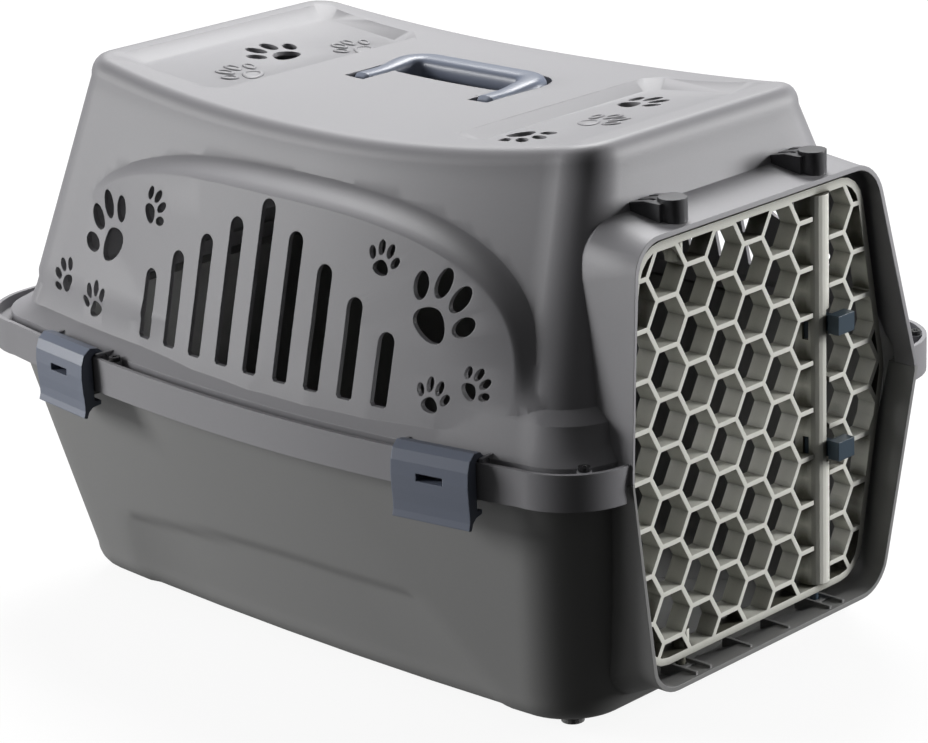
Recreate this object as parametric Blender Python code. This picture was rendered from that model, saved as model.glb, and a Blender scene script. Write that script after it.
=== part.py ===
"""Moulded plastic pet transport carrier: tub, upper shell, honeycomb door, latch, handle and clips.

Millimetres in every constant and helper, turned into metres in make_object. X is the width, the
door faces -Y, +Z is up, and the feet stand on z = 0.
"""

import math

import bmesh
import bpy

MM = 0.001

# Shell body.
SHELL = 2.6
BOW_CENTRE = -25.0
SEAM_Z = 148.6
RIM_LOW, RIM_HIGH = 139.4, 158.8
RIM_WALL = 2.5
GUTTER_LOW, GUTTER_HIGH = 150.0, 152.6
FLANGE_LOW, FLANGE_HIGH = 146.8, 149.4
SADDLE_DIP, SADDLE_POWER, SADDLE_HALF, SADDLE_CENTRE = 13.0, 2.2, 185.0, -3.0
SADDLE_START, SADDLE_SPAN = 200.0, 105.0
TOP_ROUND = 9.0
# (half width middle, front end, rear end, y front, y rear, corner radius front, rear)
RIM = (174.0, 146.0, 143.0, -237.5, 240.0, 40.0, 46.0)
SKIRT_LOW = (164.5, 140.0, 136.0, -229.0, 231.0, 34.0, 40.0)
SKIRT_MID = (156.5, 136.0, 129.0, -224.0, 218.0, 32.0, 35.0)
SKIRT_HIGH = (152.5, 133.5, 126.2, -221.0, 212.4, 30.0, 32.0)
SKIRT_Z = (RIM_HIGH, 166.0, 177.0)
WALL_LOW = (153.0, 126.0, 126.0, -214.0, 212.0, 30.0, 32.0)
WALL_HIGH = (110.0, 84.0, 96.0, -193.0, 187.0, 24.0, 22.0)
WALL_Z = (183.0, 215.0, 245.0, 268.0, 283.0, 293.0)
WALL_TOP_Z = 305.0
PLATEAU_SCALES = (0.8, 0.45)

# Side panel standing proud of the wall.
PANEL_X, PANEL_Z, PANEL_LEAN, PANEL_BOW = 158.0, 171.0, 0.2517, 0.0007
ARCH_BASE, ARCH_TOP, ARCH_CENTRE = 183.0, 271.5, -10.0
ARCH_FRONT, ARCH_REAR, ARCH_POWER, ARCH_STEP = 178.0, 192.0, 2.7, 9.0
ARCH_FOOT, ARCH_FOOT_Z = 18.0, 7.0
ARCH_ROWS, ARCH_COLUMNS, ARCH_CROWD = (0.35, 0.7), 28, 0.9
ARCH_SINK, ARCH_UNDER, ARCH_BACK = 23.0, 0.8, 96.0

# Tub.
TUB_TOP = (164.0, 146.0, 141.0, -226.0, 222.0, 36.0, 40.0)
TUB_BOTTOM = (131.0, 124.0, 122.0, -206.0, 192.0, 38.0, 40.0)
TUB_Z = (FLANGE_HIGH, 90.0, 68.0, 62.0, 55.0, 48.0, 34.0, 19.5)
TUB_FLOOR, TUB_EDGE = 5.5, 14.0
TUB_RINGS = (0.5,)
# Shallow recess in each side of the tub: depth, rear and front ends, lean of the front end, top.
RECESS_DEEP, RECESS_REAR, RECESS_FRONT, RECESS_LEAN, RECESS_TOP = 2.0, 128.0, -158.0, 0.85, 68.0
RECESS_STEP = 7.0

# Collar and door opening.
COLLAR_Y = -196.0
COLLAR_LIP = ((97.0, 265.5), (117.5, 148.6), (95.0, 24.5))
COLLAR_ROOT = ((96.5, 270.0), (118.0, 150.0), (101.0, 12.0))
# The collar turns in behind its root to meet the shell.
COLLAR_END_Y, COLLAR_END = -172.0, ((86.0, 262.0), (112.0, 152.0), (98.0, 16.0))
COLLAR_ROUND = 21.0
LIP_TOP_Y, LIP_SEAM_Y, LIP_BOTTOM_Y = -227.5, -240.1, -233.5
LIP_WALL = 2.6
SEAM_GAP = 0.3
# Socket on the collar for each vertical pin: half width, radius round the pin, top and rear end.
LUG_HALF, LUG_ROUND, LUG_TOP, LUG_REAR = 10.0, 7.6, 276.0, -194.0

# Door.
DOOR_FRONT, DOOR_BACK = -222.0, -211.0
DOOR_Y = (DOOR_FRONT + DOOR_BACK) / 2
DOOR_OUTLINE = ((89.0, 259.7), (111.0, 147.0), (88.0, 33.5))
DOOR_ROUND = 20.0
DOOR_FRAME = 4.0
HEX_SIDE = 15.1
HEX_WALL = 2.6
HEX_TOP_Z = 256.0
HINGE_X, LATCH_X = -56.0, 56.0
PIN_R = 2.5
PIN_HOLE_R = 3.1

BOSS_R, BOSS_LONG = 4.6, 14.0
PIN_TOP, PIN_BOTTOM = 272.5, 22.5

# Latch: a channel on the door, and two sprung buttons that draw in the rods.
CHANNEL_R, CHANNEL_WALL = 8.5, 1.6
CHANNEL_LOW, CHANNEL_HIGH = 38.5, 255.0
BUTTON_Z = (115.0, 185.0)
BUTTON_X = (56.0, 69.5)
BUTTON_Y = (-233.5, -226.5)
BUTTON_HALF = 5.2
CARRIAGE_HALF = 8.0
WINDOW_LOW, WINDOW_HIGH = 107.5, 192.5
WEB_Z, WEB_HALF = 150.0, 1.5
ROD_R, ROD_HOLE_R, ROD_SEAT = 2.4, 2.75, 5.0
ROD_TOP, ROD_BOTTOM = 272.0, 23.0
LATCH_STROKE = 10.0
SPRING_R, SPRING_WIRE, SPRING_TURNS = 4.2, 0.55, 6

# Handle.
HANDLE_Y, HANDLE_HALF = 5.0, 53.0
HANDLE_PIVOT = (-2.0, 290.0)
HANDLE_PIN_R = 2.0
HANDLE_TAIL, HANDLE_REACH = 5.5, 51.0
ARM_LOW, ARM_HIGH, GRIP_LOW, GRIP_HIGH = 285.6, 294.4, 284.0, 297.0
ARM_W, GRIP_W = 12.0, 17.0
GRIP_ROUND, GRIP_HOLLOW = 20.0, 8.0
WELL_X, WELL_ROUND = (12.0, 55.0), 20.0
WELL_HALF, WELL_DEEP, GROOVE_DEEP = 55.0, 27.0, 10.0

# Trays in the roof.
TRAY_DEEP, TRAY_SLOPE = 5.0, 9.0
TRAY_REAR = (82.0, 88.0, 172.0)
TRAY_FRONT = (80.0, -168.0, -86.0)
TRAY_ROUND = 12.0

# Ventilation slots and paw openings on the side: (y, z, size, turn in degrees).
SLOT_PITCH, SLOT_CENTRE, SLOT_LOW, SLOT_WIDE = 23.0, -9.5, 170.5, 10.4
SLOT_TOPS = (208.0, 222.0, 235.0, 248.0, 261.0, 248.0, 235.0, 222.0, 208.0)
SIDE_PAWS = (
    (130.2, 218.6, 1.1, -43.0),
    (87.8, 238.8, 0.58, 49.0),
    (166.3, 186.2, 0.56, -56.0),
    (133.5, 179.8, 0.57, -22.0),
    (-131.0, 222.6, 1.1, 31.0),
    (-92.8, 242.4, 0.52, 13.0),
    (-133.7, 180.4, 0.52, 12.0),
    (-157.4, 189.4, 0.5, 45.0),
)
ROOF_PAWS = ((3.0, 129.0, 0.95, 5.0), (-49.0, -112.0, 0.8, 150.0), (38.0, -115.0, 0.8, -120.0))

# Clips: outlines are (outward from the rim face, height).
CLIP_Y = {"front": -152.5, "rear": 130.5}
CLIP_HALF = 23.5
CLIP_AXIS = (-6.0, 158.4)
CLIP_PROFILE = ((-8.4, 157.6), (-8.0, 160.2), (-6.0, 161.2), (-3.6, 163.4), (1.5, 164.2), (5.6, 161.0),
                (7.6, 155.5), (8.2, 148.0), (7.8, 140.0), (7.2, 134.0), (7.2, 129.0), (8.2, 125.4),
                (6.4, 124.8), (4.8, 128.2), (2.2, 130.4), (-3.2, 131.2), (-3.4, 133.4), (0.8, 133.8),
                (0.8, 158.6), (-0.6, 160.0), (-3.0, 159.8), (-3.6, 158.4), (-4.6, 156.2), (-7.0, 156.0))
CLIP_SLOT = (-8.0, 8.0, 146.4, 150.4)
CLIP_PIN_R, CLIP_PIN_HALF = 1.2, 26.0
EAR_IN, EAR_OUT = 24.0, 26.3
CATCH_LOW, CATCH_HIGH = 134.4, 138.2

# Screws in the gutter as (x, y), and feet.
SCREW_AT = ((161.95, 94.0), (135.4, -224.6))
SCREW_HEAD_R, SCREW_R, SCREW_BOSS_R, SCREW_SEAT = 3.2, 1.7, 3.8, 158.4
FOOT_AT = ((99.0, -179.0), (97.0, 157.0))
FOOT_R, FOOT_STEM_R = 6.2, 3.0
RIB_X, RIB_HALF = 5.6, 0.8

FLAT_ANGLE, SHARP_ANGLE = 1.2, 28.0
CORNER_SEG, SIDE_SEG, EDGE_SEG = 4, 12, 2


def clear_scene():
    for obj in list(bpy.data.objects):
        bpy.data.objects.remove(obj, do_unlink=True)


def material(name, colour, roughness=0.5):
    found = bpy.data.materials.get(name) or bpy.data.materials.new(name)
    found.use_nodes = True
    shader = found.node_tree.nodes["Principled BSDF"]
    shader.inputs["Base Color"].default_value = (*colour, 1.0)
    shader.inputs["Roughness"].default_value = roughness
    return found


def make_object(name, verts, faces, surface=None, origin=(0.0, 0.0, 0.0)):
    """A mesh from millimetre points, its origin at `origin`, faces turned outward."""
    mesh = bpy.data.meshes.new(name)
    mesh.from_pydata([[(c - o) * MM for c, o in zip(v, origin)] for v in verts], [], faces)
    obj = bpy.data.objects.new(name, mesh)
    obj.location = [o * MM for o in origin]
    bpy.context.scene.collection.objects.link(obj)
    tidy(obj)
    if surface:
        mesh.materials.append(surface)
    return obj


def tidy(obj):
    work = bmesh.new()
    work.from_mesh(obj.data)
    bmesh.ops.remove_doubles(work, verts=work.verts, dist=1e-6)
    bmesh.ops.triangulate(work, faces=[f for f in work.faces if len(f.verts) == 4])
    bmesh.ops.recalc_face_normals(work, faces=work.faces)
    if work.calc_volume(signed=True) < 0:
        bmesh.ops.reverse_faces(work, faces=work.faces)
    work.to_mesh(obj.data)
    work.free()


def merge_flats(obj):
    """Joins the triangles a Boolean leaves on one flat face."""
    work = bmesh.new()
    work.from_mesh(obj.data)
    bmesh.ops.dissolve_limit(work, angle_limit=math.radians(FLAT_ANGLE), verts=work.verts, edges=work.edges)
    work.to_mesh(obj.data)
    work.free()


def combine(base, tools, operation):
    """Applies each tool to base with a Boolean and removes the tool.

    Every solid here is closed, which the manifold solver needs and the curved thin walls need it for.
    """
    for tool in tools:
        step = base.modifiers.new("step", "BOOLEAN")
        step.solver = "MANIFOLD"
        step.operation = operation
        step.object = tool
        bpy.context.view_layer.update()
        graph = bpy.context.evaluated_depsgraph_get()
        mesh = bpy.data.meshes.new_from_object(base.evaluated_get(graph))
        base.modifiers.clear()
        base.data = mesh
        bpy.data.objects.remove(tool, do_unlink=True)
    return base


def join(parts):
    """One cutter out of several that don't touch."""
    work = bmesh.new()
    for part in parts:
        work.from_mesh(part.data)
        bpy.data.objects.remove(part, do_unlink=True)
    mesh = bpy.data.meshes.new("cutters")
    work.to_mesh(mesh)
    work.free()
    obj = bpy.data.objects.new("cutters", mesh)
    bpy.context.scene.collection.objects.link(obj)
    return obj


def finish(obj, surface, name, origin=None):
    """Names the finished object, gives it one material, and moves its origin."""
    merge_flats(obj)
    obj.name = obj.data.name = name
    obj.data.materials.clear()
    obj.data.materials.append(surface)
    for face in obj.data.polygons:
        face.material_index = 0
    obj.data.shade_smooth()
    obj.data.set_sharp_from_angle(angle=math.radians(SHARP_ANGLE))
    if origin:
        shift = [o * MM - c for o, c in zip(origin, obj.location)]
        for vert in obj.data.vertices:
            vert.co = [c - s for c, s in zip(vert.co, shift)]
        obj.location = [o * MM for o in origin]
    return obj


def loft(name, rings, surface=None, tips=(None, None)):
    """A closed solid through rings of equal count, capped flat or by a fan to a tip point."""
    count = len(rings[0])
    verts = [point for ring in rings for point in ring]
    faces = []
    for row in range(len(rings) - 1):
        for i in range(count):
            j = (i + 1) % count
            a, b = row * count, (row + 1) * count
            faces.append((a + i, a + j, b + j, b + i))
    for tip, start in zip(tips, (0, (len(rings) - 1) * count)):
        ring = list(range(start, start + count))
        if tip is None:
            faces.append(tuple(ring))
        else:
            verts.append(tip)
            faces += [(ring[i], ring[(i + 1) % count], len(verts) - 1) for i in range(count)]
    return make_object(name, verts, faces, surface)


def box(name, low, high):
    (x0, y0, z0), (x1, y1, z1) = low, high
    ring = [(x0, y0), (x1, y0), (x1, y1), (x0, y1)]
    return loft(name, [[(x, y, z) for x, y in ring] for z in (z0, z1)])


def rod(name, centre, radius, low, high, axis="Z", sides=16):
    """A cylinder along an axis; centre gives the other two coordinates in axis order."""
    rings = []
    for along in (low, high):
        ring = []
        for i in range(sides):
            turn = math.tau * i / sides
            a, b = centre[0] + radius * math.cos(turn), centre[1] + radius * math.sin(turn)
            ring.append({"Z": (a, b, along), "Y": (a, along, b), "X": (along, a, b)}[axis])
        rings.append(ring)
    return loft(name, rings)


def prism(name, outline, low, high, axis="Y"):
    """An outline pushed along an axis; the outline is (x, z), (y, z) or (x, y)."""
    rings = []
    for along in (low, high):
        place = {"Y": lambda a, b: (a, along, b), "X": lambda a, b: (along, a, b),
                 "Z": lambda a, b: (a, b, along)}[axis]
        rings.append([place(a, b) for a, b in outline])
    return loft(name, rings)


def half_width(y, shape):
    middle, front, rear, y_front, y_rear = shape[:5]
    if y > BOW_CENTRE:
        return middle - (middle - rear) * ((y - BOW_CENTRE) / (y_rear - BOW_CENTRE)) ** 2
    return middle - (middle - front) * ((y - BOW_CENTRE) / (y_front - BOW_CENTRE)) ** 2


def plan(shape, inset=0.0, corner=CORNER_SEG, side=SIDE_SEG, edge=EDGE_SEG, stations=None):
    """A bowed, rounded rectangle in plan, from the middle of the front round to the start.

    Along each side its points are evenly spaced, or stand at the given stations.
    """
    middle, front, rear, y_front, y_rear, r_front, r_rear = shape
    y0, y1 = y_front + inset, y_rear - inset
    r0, r1 = max(r_front - inset, 2.0), max(r_rear - inset, 2.0)
    wide = lambda y: half_width(y, shape) - inset
    half = []
    w0, w1 = wide(y0 + r0), wide(y1 - r1)
    half += [((w0 - r0) * i / edge, y0) for i in range(edge)]
    for i in range(corner):
        turn = math.pi / 2 * i / corner
        half.append((w0 - r0 + r0 * math.sin(turn), y0 + r0 - r0 * math.cos(turn)))
    stations = stations or [y0 + r0 + (y1 - r1 - y0 - r0) * i / side for i in range(1, side)]
    half += [(wide(y), y) for y in (y0 + r0, *stations)]
    for i in range(corner):
        turn = math.pi / 2 * i / corner
        half.append((w1 - r1 + r1 * math.cos(turn), y1 - r1 + r1 * math.sin(turn)))
    half += [((w1 - r1) * (1 - i / edge), y1) for i in range(edge + 1)]
    return half + [(-x, y) for x, y in reversed(half[1:-1])]


def between(low, high, share):
    return tuple(a + (b - a) * share for a, b in zip(low, high))


def smooth(value):
    value = min(1.0, max(0.0, value))
    return value * value * (3 - 2 * value)


def saddle(y, z):
    """How far the roof line sags at y, fading out down the wall."""
    sag = SADDLE_DIP * (1 - min(1.0, abs(y - SADDLE_CENTRE) / SADDLE_HALF) ** SADDLE_POWER)
    return -sag * smooth((z - SADDLE_START) / SADDLE_SPAN)


def panel_x(y, z):
    return PANEL_X - PANEL_LEAN * (z - PANEL_Z) - PANEL_BOW * (y - BOW_CENTRE) ** 2


def wall_shape(z):
    return between(WALL_LOW, WALL_HIGH, (z - WALL_Z[0]) / (WALL_Z[-1] - WALL_Z[0]))


def wall_x(y, z):
    """Half width of the upper wall at a point, its rounded corners included."""
    shape = wall_shape(z - saddle(y, z))
    y_front, y_rear, r_front, r_rear = shape[3:]
    for end, radius, toward in ((y_front, r_front, 1), (y_rear, r_rear, -1)):
        start = end + toward * radius
        past = (start - y) * toward
        if past > 0:
            return half_width(start, shape) - radius + math.sqrt(max(0.0, radius**2 - past**2))
    return half_width(y, shape)


def arch_edge(share, shrink, flare):
    """A point of the side panel's outline, from the rear foot over the top to the front foot."""
    turn = math.pi * share - ARCH_CROWD / 2 * math.sin(math.tau * share)
    c, s = math.cos(turn), abs(math.sin(turn))
    bend = 2 / ARCH_POWER
    z = ARCH_BASE + (ARCH_TOP - ARCH_BASE - shrink) * s**bend
    reach = (ARCH_REAR if c > 0 else ARCH_FRONT) - shrink
    reach += flare * math.exp(-(z - ARCH_BASE) / ARCH_FOOT_Z)
    return ARCH_CENTRE + math.copysign(reach * abs(c) ** bend, c), z


def side_panel(side, inset):
    """The arched panel standing proud of one side, or with an inset, the hollow behind it."""
    base = ARCH_BASE - ARCH_SINK - inset
    levels = [(share, ARCH_STEP, 0.0) for share in (*ARCH_ROWS, 1.0)] + [(1.0, 0.0, ARCH_FOOT)]
    verts = [(side * (panel_x(ARCH_CENTRE, base) - inset), ARCH_CENTRE, base)]
    rows = []
    for share, shrink, flare in levels:
        rows.append(range(len(verts), len(verts) + ARCH_COLUMNS + 1))
        for j in range(ARCH_COLUMNS + 1):
            y, z = arch_edge(j / ARCH_COLUMNS, shrink + inset, flare)
            y, z = ARCH_CENTRE + (y - ARCH_CENTRE) * share, ARCH_BASE + (z - ARCH_BASE) * share
            if j in (0, ARCH_COLUMNS):
                z = base
            out = panel_x(y, z) if shrink else wall_x(y, z + inset) - ARCH_UNDER
            verts.append((side * (out - inset), y, z))
    faces = [(0, rows[0][j], rows[0][j + 1]) for j in range(ARCH_COLUMNS)]
    for low, high in zip(rows, rows[1:]):
        faces += [(low[j], high[j], high[j + 1], low[j + 1]) for j in range(ARCH_COLUMNS)]
    edge = [*rows[-1], *(row[-1] for row in rows[-2::-1]), 0, *(row[0] for row in rows[:-1])]
    back = range(len(verts), len(verts) + len(edge))
    verts += [(side * ARCH_BACK, *verts[index][1:]) for index in edge]
    faces += [(edge[i - 1], edge[i], back[i], back[i - 1]) for i in range(len(edge))]
    return make_object("panel", verts, [*faces, tuple(back)])


def upper_solid(name, inset, bottom):
    """The outside of the upper shell, or with an inset, the space inside it."""
    rings = [[(x, y, bottom) for x, y in plan(SKIRT_LOW, inset)]]
    for z, shape in zip(SKIRT_Z, (SKIRT_LOW, SKIRT_MID, SKIRT_HIGH)):
        z -= inset if shape is SKIRT_HIGH else 0.0
        rings.append([(x, y, z) for x, y in plan(shape, inset)])
    levels = [(z, inset) for z in WALL_Z]
    for turn in (30.0, 60.0, 90.0):
        lift, back = math.sin(math.radians(turn)), 1 - math.cos(math.radians(turn))
        levels.append((WALL_Z[-1] + (WALL_TOP_Z - WALL_Z[-1]) * lift, inset + TOP_ROUND * back))
    for z, shrink in levels:
        shape = wall_shape(min(z, WALL_Z[-1]))
        z -= inset
        rings.append([(x, y, z + saddle(y, z)) for x, y in plan(shape, shrink)])
    flat = rings[-1]
    centre = sum(y for _, y, _ in flat) / len(flat)
    for scale in PLATEAU_SCALES:
        ring = []
        for x, y, _ in flat:
            y = centre + (y - centre) * scale
            ring.append((x * scale, y, WALL_TOP_Z - inset + saddle(y, WALL_TOP_Z)))
        rings.append(ring)
    tip = (0.0, centre, WALL_TOP_Z - inset + saddle(centre, WALL_TOP_Z))
    body = loft(name, rings, tips=(None, tip))
    return combine(body, [side_panel(side, inset) for side in (-1, 1)], "UNION")


def tub_recess(x, y, z):
    """How far the side of the tub is set in at this point."""
    front = RECESS_FRONT + RECESS_LEAN * (z - TUB_FLOOR)
    top = RECESS_TOP - 12.0 * smooth(y / RECESS_REAR)
    cover = min(smooth((y - front) / RECESS_STEP), smooth((RECESS_REAR - y) / RECESS_STEP),
                smooth((top - z) / RECESS_STEP), smooth((abs(x) - 90.0) / 20.0))
    return RECESS_DEEP * cover


def tub_ring(z, shape, inset):
    front = RECESS_FRONT + RECESS_LEAN * (z - TUB_FLOOR)
    stations = [front - 14.0, front, front + RECESS_STEP]
    stations += [stations[-1] + (RECESS_REAR - RECESS_STEP - stations[-1]) * i / 5 for i in range(1, 6)]
    stations += [RECESS_REAR, RECESS_REAR + 14.0]
    ring = []
    for x, y in plan(shape, inset, stations=stations):
        ring.append((x - math.copysign(tub_recess(x, y, z), x), y, z))
    return ring


def tub_solid(name, inset, top):
    """The outside of the tub, or with an inset, the space inside it."""
    rings = [tub_ring(top, TUB_TOP, inset)]
    for z in TUB_Z[1:]:
        share = (TUB_Z[0] - z) / (TUB_Z[0] - TUB_Z[-1])
        rings.append(tub_ring(z, between(TUB_TOP, TUB_BOTTOM, share), inset))
    floor = TUB_FLOOR + inset
    for turn in (30.0, 60.0, 90.0):
        down, back = math.sin(math.radians(turn)), 1 - math.cos(math.radians(turn))
        z = TUB_Z[-1] - (TUB_Z[-1] - floor) * down
        rings.append(tub_ring(z, TUB_BOTTOM, inset + TUB_EDGE * back))
    flat = rings[-1]
    centre = sum(y for _, y, _ in flat) / len(flat)
    for scale in TUB_RINGS:
        rings.append([(x * scale, centre + (y - centre) * scale, floor) for x, y, _ in flat])
    return loft(name, rings, tips=(None, (0.0, centre, floor)))


def rounded(corners, radius, steps=3):
    """A closed outline with each corner replaced by an arc, all of one radius or each of its own."""
    radii = radius if isinstance(radius, tuple) else (radius,) * len(corners)
    outline = []
    for i, ((x, z), radius) in enumerate(zip(corners, radii)):
        before, after = corners[i - 1], corners[(i + 1) % len(corners)]
        a = (before[0] - x, before[1] - z)
        b = (after[0] - x, after[1] - z)
        la, lb = math.hypot(*a), math.hypot(*b)
        a, b = (a[0] / la, a[1] / la), (b[0] / lb, b[1] / lb)
        angle = math.acos(max(-1.0, min(1.0, a[0] * b[0] + a[1] * b[1])))
        reach = min(radius / math.tan(angle / 2), la / 2.01, lb / 2.01)
        size = reach * math.tan(angle / 2)
        mid = math.hypot(a[0] + b[0], a[1] + b[1])
        away = size / math.sin(angle / 2)
        centre = (x + (a[0] + b[0]) / mid * away, z + (a[1] + b[1]) / mid * away)
        start = (x + a[0] * reach - centre[0], z + a[1] * reach - centre[1])
        end = (x + b[0] * reach - centre[0], z + b[1] * reach - centre[1])
        sweep = math.atan2(start[0] * end[1] - start[1] * end[0],
                           start[0] * end[0] + start[1] * end[1])
        for k in range(steps + 1):
            c, s = math.cos(sweep * k / steps), math.sin(sweep * k / steps)
            outline.append((centre[0] + start[0] * c - start[1] * s,
                            centre[1] + start[0] * s + start[1] * c))
    return outline


def hexagon(levels, grow=0.0):
    """The six corners of the collar outline, offset outward by grow."""
    (xt, zt), (xs, zs), (xb, zb) = levels
    corners = [(xt, zt), (xs, zs), (xb, zb)]
    corners = corners + [(-x, z) for x, z in reversed(corners)]
    moved = []
    for i, (x, z) in enumerate(corners):
        before, after = corners[i - 1], corners[(i + 1) % 6]
        normals = []
        for (px, pz), (qx, qz) in ((before, (x, z)), ((x, z), after)):
            length = math.hypot(qx - px, qz - pz)
            normals.append(((pz - qz) / length, (qx - px) / length))
        (ax, az), (bx, bz) = normals
        scale = grow / (1 + ax * bx + az * bz)
        moved.append((x + (ax + bx) * scale, z + (az + bz) * scale))
    return moved


def split_sides(outline, pieces=4):
    """Adds points along long sides so that the V of the lip has points to bend at."""
    dense = []
    for i, (x, z) in enumerate(outline):
        nx, nz = outline[(i + 1) % len(outline)]
        parts = pieces if math.hypot(nx - x, nz - z) > 40 else 1
        dense += [(x + (nx - x) * k / parts, z + (nz - z) * k / parts) for k in range(parts)]
    return dense


def lip_y(z):
    """The lip stands furthest forward at the seam between the halves."""
    top, bottom = COLLAR_LIP[0][1], COLLAR_LIP[2][1]
    if z > SEAM_Z:
        return LIP_SEAM_Y + (LIP_TOP_Y - LIP_SEAM_Y) * (z - SEAM_Z) / (top - SEAM_Z)
    return LIP_SEAM_Y + (LIP_BOTTOM_Y - LIP_SEAM_Y) * (SEAM_Z - z) / (SEAM_Z - bottom)


def collar_solid(name, grow, front=0.0):
    """The collar round the door, or with a negative grow and a front, the opening through it."""
    lip = split_sides(rounded(hexagon(COLLAR_LIP, grow), COLLAR_ROUND + grow))
    root = split_sides(rounded(hexagon(COLLAR_ROOT, grow), COLLAR_ROUND + 3 + grow))
    end = split_sides(rounded(hexagon(COLLAR_END, grow), COLLAR_ROUND + grow))
    rings = [[(x, lip_y(z) - front, z) for x, z in lip]]
    for x_z, y in ((lip, LIP_TOP_Y + 4.0), (root, COLLAR_Y), (end, COLLAR_END_Y)):
        rings.append([(x, y, z) for x, z in x_z])
    return loft(name, rings)


def paw_outlines(y, z, size, turn, toe_sides=5):
    """Pad and four toes as outlines round (y, z), toes upward before turning."""
    blobs = [(0.0, -7.0, 9.5, 7.5, 0.0), (-15.0, 3.0, 4.2, 6.6, 28.0), (-5.8, 11.5, 4.2, 7.6, 8.0),
             (5.8, 11.5, 4.2, 7.6, -8.0), (15.0, 3.0, 4.2, 6.6, -28.0)]
    c, s = math.cos(math.radians(turn)), math.sin(math.radians(turn))
    outlines = []
    for bx, bz, rx, rz, tilt in blobs:
        tc, ts = math.cos(math.radians(tilt)), math.sin(math.radians(tilt))
        outline = []
        sides = toe_sides + 3 * (rx > 8)
        for i in range(sides):
            t = math.tau * i / sides
            px, pz = rx * math.cos(t), rz * math.sin(t)
            if rx > 8:
                px *= 1 - 0.28 * math.sin(t)
            px, pz = px * tc - pz * ts + bx, px * ts + pz * tc + bz
            outline.append((y + size * (px * c - pz * s), z + size * (px * s + pz * c)))
        outlines.append(outline)
    return outlines


def slot_outline(y, low, high, wide, steps=4):
    half = wide / 2
    outline = [(y - half, low + 1.5), (y - half + 1.5, low), (y + half - 1.5, low),
               (y + half, low + 1.5)]
    for i in range(steps + 1):
        turn = math.pi * i / steps
        outline.append((y + half * math.cos(turn), high - half + half * math.sin(turn)))
    return outline


def pocket(name, low, high, top, floor, radius, taper=4.0):
    """A rounded rectangular pocket cutter, narrowing to its floor."""
    rings = []
    for z, inset in ((floor, taper), (top, 0.0)):
        corners = [(low[0] + inset, low[1] + inset), (high[0] - inset, low[1] + inset),
                   (high[0] - inset, high[1] - inset), (low[0] + inset, high[1] - inset)]
        rings.append([(x, y, z) for x, y in rounded(corners, radius)])
    return loft(name, rings)


def tray(name, half, y0, y1, grow):
    """A tray cutter with sloping sides, whose flat floor keeps its depth below the sagging roof."""
    low, high = (WALL_TOP_Z + saddle(y, WALL_TOP_Z) - TRAY_DEEP - grow for y in (y0, y1))
    rings = []
    for inset, lift in ((TRAY_SLOPE, 0.0), (0.0, TRAY_DEEP), (0.0, 40.0)):
        inset -= grow
        corners = [(-half + inset, y0 + inset), (half - inset, y0 + inset),
                   (half - inset, y1 - inset), (-half + inset, y1 - inset)]
        rings.append([(x, y, low + (high - low) * (y - y0) / (y1 - y0) + lift)
                      for x, y in rounded(corners, TRAY_ROUND - inset / 2)])
    return loft(name, rings)


def handle_well(name, grow):
    """The well the handle folds into, with a groove at each end for the arms."""
    x, z = HANDLE_PIVOT
    top = 330.0
    body = pocket(name, (WELL_X[0] - grow, HANDLE_Y - WELL_HALF - grow),
                  (WELL_X[1] + grow, HANDLE_Y + WELL_HALF + grow),
                  top, z + 2 - WELL_DEEP - grow, WELL_ROUND + grow, 2.0)
    for side in (-1, 1):
        middle = HANDLE_Y + side * (HANDLE_HALF - ARM_W / 2)
        half = ARM_W / 2 + 1.2 + grow
        body = combine(body, [box("groove", (x - 9.0 - grow, middle - half, z + 2 - GROOVE_DEEP - grow),
                                  (WELL_X[0] + WELL_ROUND, middle + half, top))], "UNION")
    return body


def lug(name, x):
    """The ribbed socket on top of the collar that takes a pin."""
    outline = [(DOOR_Y, 262.0), (DOOR_Y, LUG_TOP), (-206.0, LUG_TOP), (LUG_REAR, LUG_TOP - 2.5),
               (LUG_REAR, 262.0)]
    body = prism(name, outline, x - LUG_HALF, x + LUG_HALF, "X")
    gaps = [box("rib gap", (x + at - 1.3, DOOR_Y + LUG_ROUND, LUG_TOP - 4.5), (x + at + 1.3, -190.0, 290.0))
            for at in (-4.2, 4.2)]
    body = combine(body, gaps, "DIFFERENCE")
    return combine(body, [rod("socket", (x, DOOR_Y), LUG_ROUND, 262.0, LUG_TOP + 2.0, sides=16)], "UNION")


def rim_frame():
    """The rim band with the gutter behind it, as one ring."""
    def level(inset, low, high):
        return loft("rim", [[(x, y, z) for x, y in plan(RIM, inset)] for z in (low, high)])

    body = level(0.0, RIM_LOW, RIM_HIGH)
    return combine(body, [level(RIM_WALL, GUTTER_HIGH, RIM_HIGH + 5),
                          level(RIM_WALL, RIM_LOW - 5, GUTTER_LOW), lip_clearance()], "DIFFERENCE")


def half_space(name, low, high):
    return box(name, (-400.0, -400.0, low), (400.0, 400.0, high))


def clip_frame(side, end):
    """Places (outward, along, height) at a clip, square to the bowed rim."""
    y = CLIP_Y[end]
    x = half_width(y, RIM)
    slope = (half_width(y + 1.0, RIM) - half_width(y - 1.0, RIM)) / 2.0
    turn = math.atan(-slope)
    out, along = (math.cos(turn), math.sin(turn)), (-math.sin(turn), math.cos(turn))

    def place(u, v, z):
        return (side * (x + out[0] * u + along[0] * v), y + out[1] * u + along[1] * v, z)

    return place


def clip_prism(name, outline, v0, v1, place):
    return loft(name, [[place(u, v, z) for u, z in outline] for v in (v0, v1)])


def clip_block(name, u, v, z, place):
    outline = [(u[0], z[0]), (u[1], z[0]), (u[1], z[1]), (u[0], z[1])]
    return clip_prism(name, outline, v[0], v[1], place)


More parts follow.
